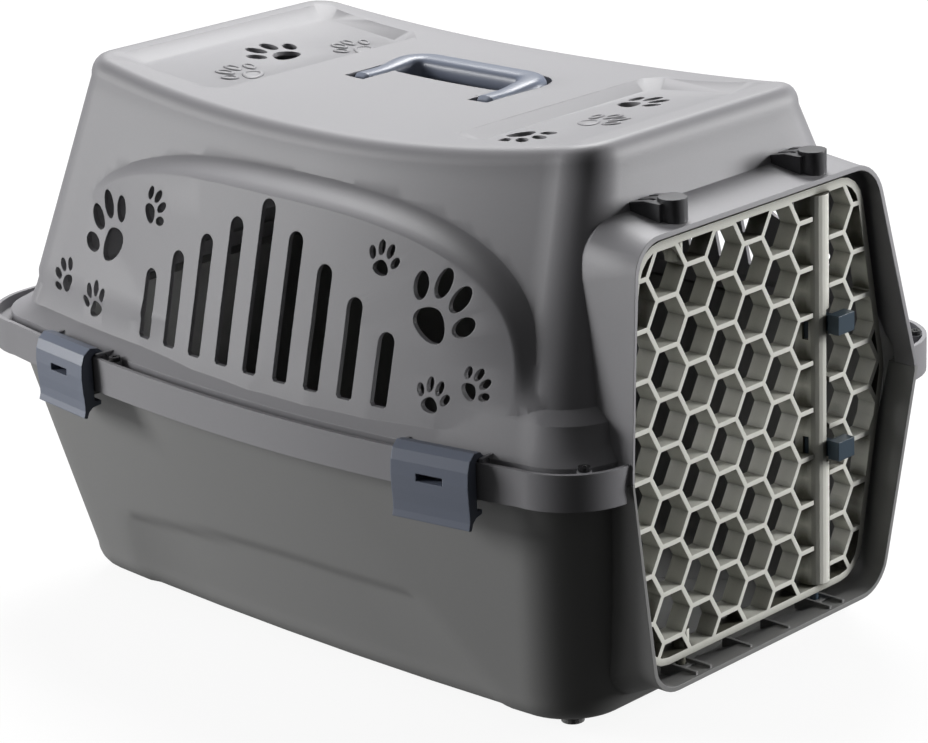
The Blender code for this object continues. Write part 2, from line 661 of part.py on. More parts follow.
def clip_pin_solid(name, radius, half, place, sides=10):
    u, z = CLIP_AXIS
    ring = [(u + radius * math.cos(math.tau * i / sides), z + radius * math.sin(math.tau * i / sides))
            for i in range(sides)]
    return clip_prism(name, ring, -half, half, place)


def each_clip():
    for side, word in ((-1, "left"), (1, "right")):
        for end in CLIP_Y:
            yield f"{word}_{end}", clip_frame(side, end)


def build_upper(surface):
    shell = upper_solid("upper_shell", 0.0, GUTTER_LOW)
    shell = combine(shell, [rim_frame()], "UNION")
    collar = combine(collar_solid("collar", 0.0),
                     [half_space("below", -50.0, SEAM_Z + SEAM_GAP / 2)], "DIFFERENCE")
    lugs = [lug("lug", HINGE_X), lug("lug", LATCH_X)]
    ears = []
    for _, place in each_clip():
        for v in ((-EAR_OUT, -EAR_IN), (EAR_IN, EAR_OUT)):
            ears.append(clip_block("ear", (-12.0, -1.2), v, (GUTTER_LOW + 0.5, 161.0), place))
    bosses = [rod("boss", (side * x, y), SCREW_BOSS_R, GUTTER_LOW + 0.5, SCREW_SEAT, sides=12)
              for side in (-1, 1) for x, y in SCREW_AT]
    shell = combine(shell, [collar, *lugs, *ears, *bosses], "UNION")
    trays = [tray("tray", *place, 0.0) for place in (TRAY_REAR, TRAY_FRONT)]
    shell = combine(shell, [*trays, handle_well("well", 0.0)], "DIFFERENCE")
    space = upper_solid("space", SHELL, RIM_LOW - 20.0)
    pads = [tray("pad", *place, SHELL) for place in (TRAY_REAR, TRAY_FRONT)]
    space = combine(space, [*pads, handle_well("pad", SHELL)], "DIFFERENCE")
    shell = combine(shell, [space, collar_solid("opening", -LIP_WALL, 30.0)], "DIFFERENCE")
    cutters = []
    for side in (-1, 1):
        for k, top in enumerate(SLOT_TOPS):
            y = SLOT_CENTRE + SLOT_PITCH * (4 - k)
            cutters.append(prism("slot", slot_outline(y, SLOT_LOW, top, SLOT_WIDE),
                                 side * 95.0, side * 190.0, "X"))
        for paw in SIDE_PAWS:
            cutters += [prism("paw", outline, side * 85.0, side * 190.0, "X")
                        for outline in paw_outlines(*paw)]
        cutters += screw_holes(side, GUTTER_LOW - 5.0, SCREW_SEAT + 1.0)
    for _, place in each_clip():
        cutters.append(clip_pin_solid("pin hole", CLIP_PIN_R + 0.3, EAR_OUT + 1.0, place))
    for x, y, size, turn in ROOF_PAWS:
        cutters += [prism("paw", outline, 280.0, 320.0, "Z")
                    for outline in paw_outlines(x, y, size, turn)]
    for x in (HINGE_X, LATCH_X):
        cutters.append(rod("pin hole", (x, DOOR_Y), PIN_HOLE_R, 240.0, 275.5))
    x, z = HANDLE_PIVOT
    for side in (-1, 1):
        y = HANDLE_Y + side * (HANDLE_HALF - ARM_W / 2)
        cutters.append(rod("pivot hole", (x, z), HANDLE_PIN_R + 0.35, y - 9.6, y + 9.6, "Y", 12))
    return finish(combine(shell, [join(cutters)], "DIFFERENCE"), surface, "upper_shell")


def screw_holes(side, low, high):
    return [rod("screw hole", (side * x, y), SCREW_R + 0.4, low, high, sides=10) for x, y in SCREW_AT]


def build_tub(surface):
    tub = tub_solid("lower_tub", 0.0, FLANGE_HIGH)
    flange = loft("flange", [[(x, y, z) for x, y in plan(RIM, RIM_WALL + 0.6)]
                             for z in (FLANGE_LOW, FLANGE_HIGH)])
    collar = combine(collar_solid("collar", 0.0),
                     [half_space("above", SEAM_Z - SEAM_GAP / 2, 400.0)], "DIFFERENCE")
    catches = []
    for _, place in each_clip():
        catches.append(clip_block("catch", (-16.0, -0.6), (-15.0, 15.0), (CATCH_LOW, CATCH_HIGH), place))
    tub = combine(tub, [flange, collar, *catches], "UNION")
    clear = loft("rim space", [[(x, y, z) for x, y in plan(RIM, -0.4)]
                               for z in (RIM_LOW - 0.4, FLANGE_HIGH + 5)])
    core = loft("rim core", [[(x, y, z) for x, y in plan(RIM, RIM_WALL + 0.4)]
                             for z in (RIM_LOW - 5, FLANGE_HIGH + 8)])
    clear = combine(clear, [core, lip_clearance(0.4)], "DIFFERENCE")
    reach = COLLAR_LIP[1][0] + 1.5
    above = box("above seam", (-reach, -260.0, SEAM_Z - SEAM_GAP / 2), (reach, COLLAR_Y, FLANGE_HIGH + 5))
    tub = combine(tub, [clear, above], "DIFFERENCE")
    space = tub_solid("space", SHELL, FLANGE_HIGH + 10.0)
    tub = combine(tub, [space, collar_solid("opening", -LIP_WALL, 30.0)], "DIFFERENCE")
    floor = COLLAR_LIP[2][1] - 3.0
    ribs = []
    for x in (HINGE_X, LATCH_X):
        ribs += [box("rib", (x + at - RIB_HALF, -232.0, floor), (x + at + RIB_HALF, -208.0, 28.8))
                 for at in (-RIB_X, RIB_X)]
        ribs.append(box("socket", (x - RIB_X, -222.0, floor), (x + RIB_X, -208.0, 27.6)))
    ribs += [box("rib", (x - RIB_HALF, -231.0, floor), (x + RIB_HALF, -212.0, 28.2)) for x in (-16.0, 16.0)]
    ribs = [combine(rib, [collar_floor()], "INTERSECT") for rib in ribs]
    tub = combine(tub, ribs, "UNION")
    cutters = [rod("pin hole", (x, DOOR_Y), PIN_HOLE_R, 10.0, 45.0) for x in (HINGE_X, LATCH_X)]
    for side in (-1, 1):
        cutters += screw_holes(side, FLANGE_LOW - 5.0, FLANGE_HIGH + 5.0)
        cutters += [rod("foot hole", (side * x, y), FOOT_STEM_R + 0.3, -2.0, 12.0, sides=12)
                    for x, y in FOOT_AT]
    return finish(combine(tub, [join(cutters)], "DIFFERENCE"), surface, "lower_tub")


def collar_floor():
    """The collar's outside, which the ribs are kept within."""
    return collar_solid("collar", -0.5)


def lip_clearance(spare=0.0):
    """The space of the lip, where the rim band gives way to the collar."""
    reach = COLLAR_LIP[1][0] + 1.5 - spare
    return box("lip space", (-reach, -260.0, 120.0), (reach, -200.0, SEAM_Z + SEAM_GAP / 2 + 0.01))


def hex_cells():
    """Openings of the honeycomb, flat side up, in columns across the door."""
    pitch_x, pitch_z = 1.5 * HEX_SIDE, math.sqrt(3) * HEX_SIDE
    radius = HEX_SIDE - HEX_WALL / math.sqrt(3)
    cells = []
    for column in range(-5, 6):
        offset = 0.0 if column % 2 else pitch_z / 2
        for row in range(-1, 10):
            x, z = column * pitch_x, HEX_TOP_Z - pitch_z * (row + 0.5) + offset
            ring = [(x + radius * math.cos(math.tau * i / 6), z + radius * math.sin(math.tau * i / 6))
                    for i in range(6)]
            cells.append(prism("cell", ring, DOOR_FRONT - 3.0, DOOR_BACK + 3.0))
    return join(cells)


def channel_outline(grow, back):
    """The latch channel in plan: a half round front with straight sides to the back."""
    radius = CHANNEL_R + grow
    outline = [(LATCH_X + radius, back)]
    for i in range(13):
        turn = math.pi * i / 12
        outline.append((LATCH_X + radius * math.cos(turn), DOOR_Y - radius * math.sin(turn)))
    return outline + [(LATCH_X - radius, back)]


def build_door(surface):
    outline = rounded(hexagon(DOOR_OUTLINE), DOOR_ROUND, 4)
    inner = rounded(hexagon(DOOR_OUTLINE, -DOOR_FRAME), DOOR_ROUND - DOOR_FRAME, 4)
    door = prism("door_grille", outline, DOOR_FRONT, DOOR_BACK)
    cells = combine(hex_cells(), [prism("inside", inner, DOOR_FRONT - 2.0, DOOR_BACK + 2.0)], "INTERSECT")
    door = combine(door, [cells], "DIFFERENCE")
    bosses = [rod("boss", (HINGE_X, DOOR_Y), BOSS_R, low, high, sides=12) for low, high in
              ((DOOR_OUTLINE[0][1] - BOSS_LONG, DOOR_OUTLINE[0][1] - 1.0),
               (DOOR_OUTLINE[2][1] + 1.0, DOOR_OUTLINE[2][1] + BOSS_LONG))]
    door = combine(door, bosses, "UNION")
    slot = prism("channel space", channel_outline(0.3, DOOR_BACK + 5.0),
                 CHANNEL_LOW - 0.4, CHANNEL_HIGH + 0.4, "Z")
    holes = [rod("pin hole", (HINGE_X, DOOR_Y), PIN_R + 0.3, low, high, sides=12)
             for low, high in ((20.0, DOOR_OUTLINE[2][1] + BOSS_LONG - 2.0),
                               (DOOR_OUTLINE[0][1] - BOSS_LONG + 2.0, 280.0))]
    holes.append(rod("rod hole", (LATCH_X, DOOR_Y), PIN_HOLE_R, 20.0, 45.0, sides=12))
    holes.append(rod("rod hole", (LATCH_X, DOOR_Y), PIN_HOLE_R, 250.0, 280.0, sides=12))
    door = combine(door, [slot, join(holes)], "DIFFERENCE")
    return finish(door, surface, "door_grille", (HINGE_X, DOOR_Y, 0.0))


def build_channel(surface):
    outer = prism("latch_channel", channel_outline(0.0, DOOR_BACK), CHANNEL_LOW, CHANNEL_HIGH, "Z")
    cores = [prism("core", channel_outline(-CHANNEL_WALL, DOOR_BACK + 3.0), low, high, "Z") for low, high in
             ((CHANNEL_LOW + 2.0, WEB_Z - WEB_HALF), (WEB_Z + WEB_HALF, CHANNEL_HIGH - 2.0))]
    front = DOOR_Y - 1.5
    window = box("window", (LATCH_X + 0.4, -235.0, WINDOW_LOW), (LATCH_X + 12.0, front, WINDOW_HIGH))
    views = [box("view", (LATCH_X - 12.0, DOOR_Y - 3.0, z - 5.0), (LATCH_X - 5.0, DOOR_Y + 0.5, z + 5.0))
             for z in (BUTTON_Z[0] + 3.0, BUTTON_Z[1] - 3.0)]
    ends = rod("rod hole", (LATCH_X, DOOR_Y), ROD_HOLE_R, CHANNEL_LOW - 3.0, CHANNEL_LOW + 5.0, sides=12)
    tops = rod("rod hole", (LATCH_X, DOOR_Y), ROD_HOLE_R, CHANNEL_HIGH - 5.0, CHANNEL_HIGH + 3.0, sides=12)
    body = combine(outer, [*cores, window, join([*views, ends, tops])], "DIFFERENCE")
    return finish(body, surface, "latch_channel", (HINGE_X, DOOR_Y, 0.0))


def build_buttons(surface):
    inner = CHANNEL_R - CHANNEL_WALL - 0.4
    for z, word in zip(BUTTON_Z, ("lower", "upper")):
        carriage = prism("carriage", [(LATCH_X + inner, DOOR_BACK - 0.3), (LATCH_X + inner, DOOR_Y),
                                      (LATCH_X + inner * 0.5, DOOR_Y - inner * 0.86),
                                      (LATCH_X - inner * 0.5, DOOR_Y - inner * 0.86),
                                      (LATCH_X - inner, DOOR_Y), (LATCH_X - inner, DOOR_BACK - 0.3)],
                         z - CARRIAGE_HALF, z + CARRIAGE_HALF, "Z")
        neck = box("neck", (LATCH_X + 1.2, BUTTON_Y[1] - 1.0, z - BUTTON_HALF + 1.0),
                   (LATCH_X + 5.6, DOOR_Y - 2.2, z + BUTTON_HALF - 1.0))
        head = box("head", (BUTTON_X[0], BUTTON_Y[0], z - BUTTON_HALF), (BUTTON_X[1], BUTTON_Y[1], z + BUTTON_HALF))
        body = combine(carriage, [neck, head], "UNION")
        toward = 1 if word == "upper" else -1
        seat = z + toward * CARRIAGE_HALF
        hole = rod("seat", (LATCH_X, DOOR_Y), ROD_HOLE_R,
                   min(seat - toward * ROD_SEAT, seat + toward * 2), max(seat - toward * ROD_SEAT, seat + toward * 2),
                   sides=12)
        body = combine(body, [hole], "DIFFERENCE")
        finish(body, surface, f"latch_button_{word}", (LATCH_X, DOOR_Y, z))


def build_rods(surface):
    reach = CARRIAGE_HALF - ROD_SEAT + 0.4
    lower = rod("latch_rod_lower", (LATCH_X, DOOR_Y), ROD_R, ROD_BOTTOM, BUTTON_Z[0] - reach, sides=12)
    upper = rod("latch_rod_upper", (LATCH_X, DOOR_Y), ROD_R, BUTTON_Z[1] + reach, ROD_TOP, sides=12)
    finish(lower, surface, "latch_rod_lower", (LATCH_X, DOOR_Y, BUTTON_Z[0]))
    finish(upper, surface, "latch_rod_upper", (LATCH_X, DOOR_Y, BUTTON_Z[1]))


def coil(name, low, high, steps=8, sides=4):
    """A compression spring along Z as one swept wire with flat caps."""
    rings = []
    total = SPRING_TURNS * steps
    for i in range(total + 1):
        turn = math.tau * i / steps
        z = low + SPRING_WIRE + (high - low - 2 * SPRING_WIRE) * i / total
        ring = []
        for k in range(sides):
            a = math.tau * k / sides
            r = SPRING_R + SPRING_WIRE * math.cos(a)
            ring.append((LATCH_X + r * math.cos(turn), DOOR_Y + r * math.sin(turn), z + SPRING_WIRE * math.sin(a)))
        rings.append(ring)
    return loft(name, rings)


def build_springs(surface):
    low = BUTTON_Z[0] + CARRIAGE_HALF + 0.35
    high = BUTTON_Z[1] - CARRIAGE_HALF - 0.35
    lower = coil("latch_spring_lower", low, WEB_Z - WEB_HALF - 0.35)
    upper = coil("latch_spring_upper", WEB_Z + WEB_HALF + 0.35, high)
    finish(lower, surface, "latch_spring_lower", (LATCH_X, DOOR_Y, WEB_Z))
    finish(upper, surface, "latch_spring_upper", (LATCH_X, DOOR_Y, WEB_Z))


def build_hinge_pins(surface):
    top = DOOR_OUTLINE[0][1] - BOSS_LONG + 2.5
    bottom = DOOR_OUTLINE[2][1] + BOSS_LONG - 2.5
    for low, high, word in ((top, PIN_TOP, "top"), (PIN_BOTTOM, bottom, "bottom")):
        pin = rod("pin", (HINGE_X, DOOR_Y), PIN_R, low, high, sides=14)
        finish(pin, surface, f"door_hinge_pin_{word}", (HINGE_X, DOOR_Y, 0.0))


def build_handle(surface, steel):
    x, z = HANDLE_PIVOT
    y0, y1 = HANDLE_Y - HANDLE_HALF, HANDLE_Y + HANDLE_HALF
    outer = rounded([(x - HANDLE_TAIL, y0), (x + HANDLE_REACH, y0), (x + HANDLE_REACH, y1), (x - HANDLE_TAIL, y1)],
                    (HANDLE_TAIL - 0.5, GRIP_ROUND, GRIP_ROUND, HANDLE_TAIL - 0.5), 5)
    body = prism("carry_handle", outer, GRIP_LOW, GRIP_HIGH, "Z")
    inner = rounded([(x - 30, y0 + ARM_W), (x + HANDLE_REACH - GRIP_W, y0 + ARM_W),
                     (x + HANDLE_REACH - GRIP_W, y1 - ARM_W), (x - 30, y1 - ARM_W)], GRIP_HOLLOW, 3)
    cuts = [prism("inside", inner, GRIP_LOW - 5, GRIP_HIGH + 5, "Z")]
    cuts.append(box("arm top", (x - 20, y0 - 5, ARM_HIGH), (x + HANDLE_REACH - GRIP_W - 4, y1 + 5, 310.0)))
    cuts.append(box("arm under", (x - 20, y0 - 5, 270.0), (x + HANDLE_REACH - GRIP_W - 4, y1 + 5, ARM_LOW)))
    body = combine(body, cuts, "DIFFERENCE")
    holes = []
    for side, word in ((-1, "front"), (1, "rear")):
        y = HANDLE_Y + side * (HANDLE_HALF - ARM_W / 2)
        holes.append(rod("pivot hole", (x, z), HANDLE_PIN_R + 0.35, y - 12.0, y + 12.0, "Y", 12))
        pin = rod("pin", (x, z), HANDLE_PIN_R, y - 9.2, y + 9.2, "Y", 12)
        finish(pin, steel, f"handle_pin_{word}", (x, y, z))
    body = combine(body, [join(holes)], "DIFFERENCE")
    return finish(body, surface, "carry_handle", (x, HANDLE_Y, z))


def build_clips(surface, steel):
    for word, place in each_clip():
        clip = clip_prism("clip", CLIP_PROFILE, -CLIP_HALF, CLIP_HALF, place)
        v0, v1, z0, z1 = CLIP_SLOT
        slot = clip_block("slot", (-1.5, 14.0), (v0, v1), (z0, z1), place)
        clip = combine(clip, [slot, clip_pin_solid("hole", CLIP_PIN_R + 0.3, 30.0, place)], "DIFFERENCE")
        axis = place(CLIP_AXIS[0], 0.0, CLIP_AXIS[1])
        finish(clip, surface, f"clip_{word}", axis)
        finish(clip_pin_solid("pin", CLIP_PIN_R, CLIP_PIN_HALF, place), steel, f"clip_pin_{word}", axis)


def build_screws(surface):
    top = SCREW_SEAT + 0.3
    for side, word in ((-1, "left"), (1, "right")):
        for (x, y), end in zip(SCREW_AT, ("rear", "front")):
            at = (side * x, y)
            head = rod("screw", at, SCREW_HEAD_R, top, top + 2.2, sides=12)
            shank = rod("shank", at, SCREW_R, FLANGE_LOW - 3.0, top + 1.0, sides=10)
            drive = [box("drive", (at[0] - a, at[1] - b, top + 1.2), (at[0] + a, at[1] + b, top + 4))
                     for a, b in ((1.9, 0.45), (0.45, 1.9))]
            screw = combine(combine(head, [shank], "UNION"), drive, "DIFFERENCE")
            finish(screw, surface, f"screw_{word}_{end}", (at[0], at[1], top))


def build_feet(surface):
    for side, word in ((-1, "left"), (1, "right")):
        for (x, y), end in zip(FOOT_AT, ("front", "rear")):
            at = (side * x, y)
            pad = rod("foot", at, FOOT_R, 0.0, TUB_FLOOR - 0.3, sides=20)
            stem = rod("stem", at, FOOT_STEM_R, 2.0, TUB_FLOOR + SHELL + 0.6, sides=12)
            finish(combine(pad, [stem], "UNION"), surface, f"foot_{word}_{end}", (at[0], at[1], 0.0))


def main():
    clear_scene()
    upper = material("upper plastic", (0.30, 0.30, 0.315), 0.55)
    lower = material("tub plastic", (0.20, 0.20, 0.205), 0.55)
    blue = material("blue grey plastic", (0.16, 0.19, 0.24), 0.45)
    ivory = material("door plastic", (0.66, 0.66, 0.60), 0.45)
    dark = material("button plastic", (0.03, 0.05, 0.08), 0.4)
    steel = material("steel", (0.45, 0.45, 0.46), 0.35)
    black = material("black screw", (0.02, 0.02, 0.02), 0.35)
    build_upper(upper)
    build_tub(lower)
    build_door(ivory)
    build_channel(ivory)
    build_buttons(dark)
    build_rods(dark)
    build_springs(steel)
    build_hinge_pins(ivory)
    build_handle(blue, steel)
    build_clips(blue, steel)
    build_screws(black)
    build_feet(lower)


main()
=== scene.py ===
"""Looks of the pet transport carrier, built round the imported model.

Finer versions of the upper shell, tub and handle stand for their CAD nodes; every other node keeps
its shape and gets its own material. Lengths are in millimetres until make_object turns them into
metres. X is the width, the door faces -Y, and +Z is up.
"""

import math

import bmesh
import bpy
from mathutils import Matrix, Vector


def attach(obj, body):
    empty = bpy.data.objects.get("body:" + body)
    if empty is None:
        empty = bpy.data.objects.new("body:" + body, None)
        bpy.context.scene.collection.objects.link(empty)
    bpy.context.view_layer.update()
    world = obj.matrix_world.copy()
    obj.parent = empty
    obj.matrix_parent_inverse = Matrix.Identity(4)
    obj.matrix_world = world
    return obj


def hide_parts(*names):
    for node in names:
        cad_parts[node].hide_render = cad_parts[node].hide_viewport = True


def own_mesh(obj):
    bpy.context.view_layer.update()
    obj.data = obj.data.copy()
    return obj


MM = 0.001

# Shell body.
SHELL = 2.6
BOW_CENTRE = -25.0
SEAM_Z = 148.6
RIM_LOW, RIM_HIGH = 139.4, 158.8
RIM_WALL = 2.5
GUTTER_LOW, GUTTER_HIGH = 150.0, 152.6
FLANGE_LOW, FLANGE_HIGH = 146.8, 149.4
SADDLE_DIP, SADDLE_POWER, SADDLE_HALF, SADDLE_CENTRE = 13.0, 2.2, 185.0, -3.0
SADDLE_START, SADDLE_SPAN = 200.0, 105.0
TOP_ROUND = 9.0
# (half width middle, front end, rear end, y front, y rear, corner radius front, rear)
RIM = (174.0, 146.0, 143.0, -237.5, 240.0, 40.0, 46.0)
SKIRT_LOW = (164.5, 140.0, 136.0, -229.0, 231.0, 34.0, 40.0)
SKIRT_MID = (156.5, 136.0, 129.0, -224.0, 218.0, 32.0, 35.0)
SKIRT_HIGH = (152.5, 133.5, 126.2, -221.0, 212.4, 30.0, 32.0)
SKIRT_Z = (RIM_HIGH, 166.0, 177.0)
WALL_LOW = (153.0, 126.0, 126.0, -214.0, 212.0, 30.0, 32.0)
WALL_HIGH = (110.0, 84.0, 96.0, -193.0, 187.0, 24.0, 22.0)
WALL_Z = tuple(183.0 + 110.0 * step / 14 for step in range(15))
ROUND_TURNS = (15.0, 30.0, 45.0, 60.0, 75.0, 90.0)
WALL_TOP_Z = 305.0
PLATEAU_SCALES = (0.9, 0.7, 0.5, 0.3, 0.12)

# Side panel standing proud of the wall.
PANEL_X, PANEL_Z, PANEL_LEAN, PANEL_BOW = 158.0, 171.0, 0.2517, 0.0007
ARCH_BASE, ARCH_TOP, ARCH_CENTRE = 183.0, 271.5, -10.0
ARCH_FRONT, ARCH_REAR, ARCH_POWER, ARCH_STEP = 178.0, 192.0, 2.7, 9.0
ARCH_FOOT, ARCH_FOOT_Z = 18.0, 7.0
ARCH_ROWS, ARCH_COLUMNS, ARCH_CROWD = (0.25, 0.5, 0.75), 84, 0.9
ARCH_SLOPE = (0.15, 0.35, 0.5, 0.65, 0.85, 1.0)
ARCH_SINK, ARCH_UNDER, ARCH_BACK = 23.0, 0.8, 96.0

# Tub.
TUB_TOP = (164.0, 146.0, 141.0, -226.0, 222.0, 36.0, 40.0)
TUB_BOTTOM = (131.0, 124.0, 122.0, -206.0, 192.0, 38.0, 40.0)
TUB_Z = (FLANGE_HIGH, 128.0, 106.0, 90.0, 76.0, 72.0, *(70.0 - 1.75 * step for step in range(16)),
         40.0, 36.0, 32.0, 28.0, 24.0, 19.5)
TUB_FLOOR, TUB_EDGE = 5.5, 14.0
TUB_RINGS = (0.5,)
# Shallow recess in each side of the tub: depth, rear and front ends, lean of the front end, top.
RECESS_DEEP, RECESS_REAR, RECESS_FRONT, RECESS_LEAN, RECESS_TOP = 2.0, 128.0, -158.0, 0.85, 68.0
RECESS_STEP = 7.0

# Collar and door opening.
COLLAR_Y = -196.0
COLLAR_LIP = ((97.0, 265.5), (117.5, 148.6), (95.0, 24.5))
COLLAR_ROOT = ((96.5, 270.0), (118.0, 150.0), (101.0, 12.0))
# The collar turns in behind its root to meet the shell.
COLLAR_END_Y, COLLAR_END = -172.0, ((86.0, 262.0), (112.0, 152.0), (98.0, 16.0))
COLLAR_ROUND = 21.0
LIP_TOP_Y, LIP_SEAM_Y, LIP_BOTTOM_Y = -227.5, -239.9, -233.5
LIP_WALL = 2.6
SEAM_GAP = 0.3
# Socket on the collar for each vertical pin: half width, radius round the pin, top and rear end.
LUG_HALF, LUG_ROUND, LUG_TOP, LUG_REAR = 10.0, 7.6, 276.0, -194.0

# Door, and the vertical pins that hold it.
DOOR_FRONT, DOOR_BACK = -222.0, -211.0
DOOR_Y = (DOOR_FRONT + DOOR_BACK) / 2
HINGE_X, LATCH_X = -56.0, 56.0
PIN_HOLE_R = 3.1

# Handle.
HANDLE_Y, HANDLE_HALF = 5.0, 53.0
HANDLE_PIVOT = (-2.0, 290.0)
HANDLE_PIN_R = 2.0
HANDLE_TAIL, HANDLE_REACH = 5.5, 51.0
ARM_LOW, ARM_HIGH, GRIP_LOW, GRIP_HIGH = 285.6, 294.4, 284.0, 297.0
ARM_W, GRIP_W = 12.0, 17.0
GRIP_ROUND = 20.0
WELL_X, WELL_ROUND = (12.0, 55.0), 20.0
WELL_HALF, WELL_DEEP, GROOVE_DEEP = 55.0, 27.0, 10.0

# Trays in the roof.
TRAY_DEEP, TRAY_SLOPE = 5.0, 9.0
TRAY_REAR = (82.0, 88.0, 172.0)
TRAY_FRONT = (80.0, -168.0, -86.0)
TRAY_ROUND = 12.0

# Ventilation slots and paw openings on the side: (y, z, size, turn in degrees).
SLOT_PITCH, SLOT_CENTRE, SLOT_LOW, SLOT_WIDE = 23.0, -9.5, 170.5, 10.4
SLOT_TOPS = (208.0, 222.0, 235.0, 248.0, 261.0, 248.0, 235.0, 222.0, 208.0)
SIDE_PAWS = (
    (130.2, 218.6, 1.1, -43.0),
    (87.8, 238.8, 0.58, 49.0),
    (166.3, 186.2, 0.56, -56.0),
    (133.5, 179.8, 0.57, -22.0),
    (-131.0, 222.6, 1.1, 31.0),
    (-92.8, 242.4, 0.52, 13.0),
    (-133.7, 180.4, 0.52, 12.0),
    (-157.4, 189.4, 0.5, 45.0),
)
ROOF_PAWS = ((3.0, 129.0, 0.95, 5.0), (-49.0, -112.0, 0.8, 150.0), (38.0, -115.0, 0.8, -120.0))

# Clips: places along the side, and the axis as (outward from the rim face, height).
CLIP_Y = {"front": -152.5, "rear": 130.5}
CLIP_AXIS = (-6.0, 158.4)
CLIP_PIN_R = 1.2
EAR_IN, EAR_OUT = 24.0, 26.3
CATCH_LOW, CATCH_HIGH = 134.4, 138.2

# Screws in the gutter as (x, y), and feet.
SCREW_AT = ((161.95, 94.0), (135.4, -224.6))
SCREW_R, SCREW_BOSS_R, SCREW_SEAT = 1.7, 3.8, 158.4
FOOT_AT = ((99.0, -179.0), (97.0, 157.0))
FOOT_STEM_R = 3.0
RIB_X, RIB_HALF = 5.6, 0.8

SHARP_ANGLE = 28.0
CORNER_SEG, SIDE_SEG, EDGE_SEG = 12, 56, 6

# Raised paws on the trays, with the rows of each mound as (share of the outline, height).
RELIEF_HIGH = 0.8
RELIEF_ROWS = ((1.0, -0.6), (1.0, 0.35), (0.86, RELIEF_HIGH), (0.7, RELIEF_HIGH), (0.6, 0.2))
RELIEF_PAWS = ((-38.0, 113.0, 0.8, 20.0), (45.0, 107.0, 0.75, 10.0), (-8.0, -127.0, 0.8, -120.0))

# Painted shade on the door plastic inside its cells: its colour, reach in millimetres, and the openness it
# fades over.
CELL_PAINTED_SHADE, CELL_REACH, CELL_FADE = (0.10, 0.097, 0.075), 14.0, (0.6, 0.98)

# Camera, floor, sky and lights. Lights are (name, place, aim, size, power).
CAMERA_TURN = (-45.7821, 18.4247, -2.2569)
CAMERA_AIM, CAMERA_FAR, CAMERA_LENS = (0.014098, 0.0, 0.124159), 1.866684, 127.79
FLOOR_R, FLOOR_COLOUR, FLOOR_GLOW, DOME_GLOW = 8.0, (0.1, 0.1, 0.1), 0.9, 1.0
SKY_TOWARD, SKY_RANGE = (0.6, 0.75, 0.28), (0.0, 0.3)
LIGHTS = (
    ("key", (-1.9, 2.2, 0.95), (0.0, 0.0, 0.15), (1.0, 1.0), 66.0),
    ("roof", (1.15, 0.9, 2.15), (0.0, 0.0, 0.3), (1.2, 1.0), 78.0),
    ("door", (2.0, -1.75, 0.75), (0.0, -0.2, 0.15), (0.8, 1.1), 80.0),
    ("bounce", (-1.5, 1.5, -0.5), (-0.1, 0.0, 0.1), (1.0, 1.4), 9.0),
)


def make_object(name, verts, faces):
    """A mesh from millimetre points, faces turned outward."""
    mesh = bpy.data.meshes.new(name)
    mesh.from_pydata([[c * MM for c in v] for v in verts], [], faces)
    obj = bpy.data.objects.new(name, mesh)
    bpy.context.scene.collection.objects.link(obj)
    tidy(obj)
    return obj


def tidy(obj):
    work = bmesh.new()
    work.from_mesh(obj.data)
    bmesh.ops.remove_doubles(work, verts=work.verts, dist=1e-6)
    bmesh.ops.triangulate(work, faces=[f for f in work.faces if len(f.verts) == 4])
    bmesh.ops.recalc_face_normals(work, faces=work.faces)
    if work.calc_volume(signed=True) < 0:
        bmesh.ops.reverse_faces(work, faces=work.faces)
    work.to_mesh(obj.data)
    work.free()


def combine(base, tools, operation):
    """Applies each tool to base with a Boolean and removes the tool.

    Every solid here is closed, as the MANIFOLD solver needs.
    """
    for tool in tools:
        step = base.modifiers.new("step", "BOOLEAN")
        step.solver = "MANIFOLD"
        step.operation = operation
        step.object = tool
        bpy.context.view_layer.update()
        graph = bpy.context.evaluated_depsgraph_get()
        mesh = bpy.data.meshes.new_from_object(base.evaluated_get(graph))
        base.modifiers.clear()
        base.data = mesh
        bpy.data.objects.remove(tool, do_unlink=True)
    return base


def join(parts):
    """One cutter out of several that don't touch."""
    work = bmesh.new()
    for part in parts:
        work.from_mesh(part.data)
        bpy.data.objects.remove(part, do_unlink=True)
    mesh = bpy.data.meshes.new("cutters")
    work.to_mesh(mesh)
    work.free()
    obj = bpy.data.objects.new("cutters", mesh)
    bpy.context.scene.collection.objects.link(obj)
    return obj


def loft(name, rings, tips=(None, None)):
    """A closed solid through rings of equal count, capped flat or by a fan to a tip point."""
    count = len(rings[0])
    verts = [point for ring in rings for point in ring]
    faces = []
    for row in range(len(rings) - 1):
        for i in range(count):
            j = (i + 1) % count
            a, b = row * count, (row + 1) * count
            faces.append((a + i, a + j, b + j, b + i))
    for tip, start in zip(tips, (0, (len(rings) - 1) * count)):
        ring = list(range(start, start + count))
        if tip is None:
            faces.append(tuple(ring))
        else:
            verts.append(tip)
            faces += [(ring[i], ring[(i + 1) % count], len(verts) - 1) for i in range(count)]
    return make_object(name, verts, faces)


def box(name, low, high):
    (x0, y0, z0), (x1, y1, z1) = low, high
    ring = [(x0, y0), (x1, y0), (x1, y1), (x0, y1)]
    return loft(name, [[(x, y, z) for x, y in ring] for z in (z0, z1)])


def rod(name, centre, radius, low, high, axis="Z", sides=16):
    """A cylinder along an axis; centre gives the other two coordinates in axis order."""
    rings = []
    for along in (low, high):
        ring = []
        for i in range(sides):
            turn = math.tau * i / sides
            a, b = centre[0] + radius * math.cos(turn), centre[1] + radius * math.sin(turn)
            ring.append({"Z": (a, b, along), "Y": (a, along, b), "X": (along, a, b)}[axis])
        rings.append(ring)
    return loft(name, rings)


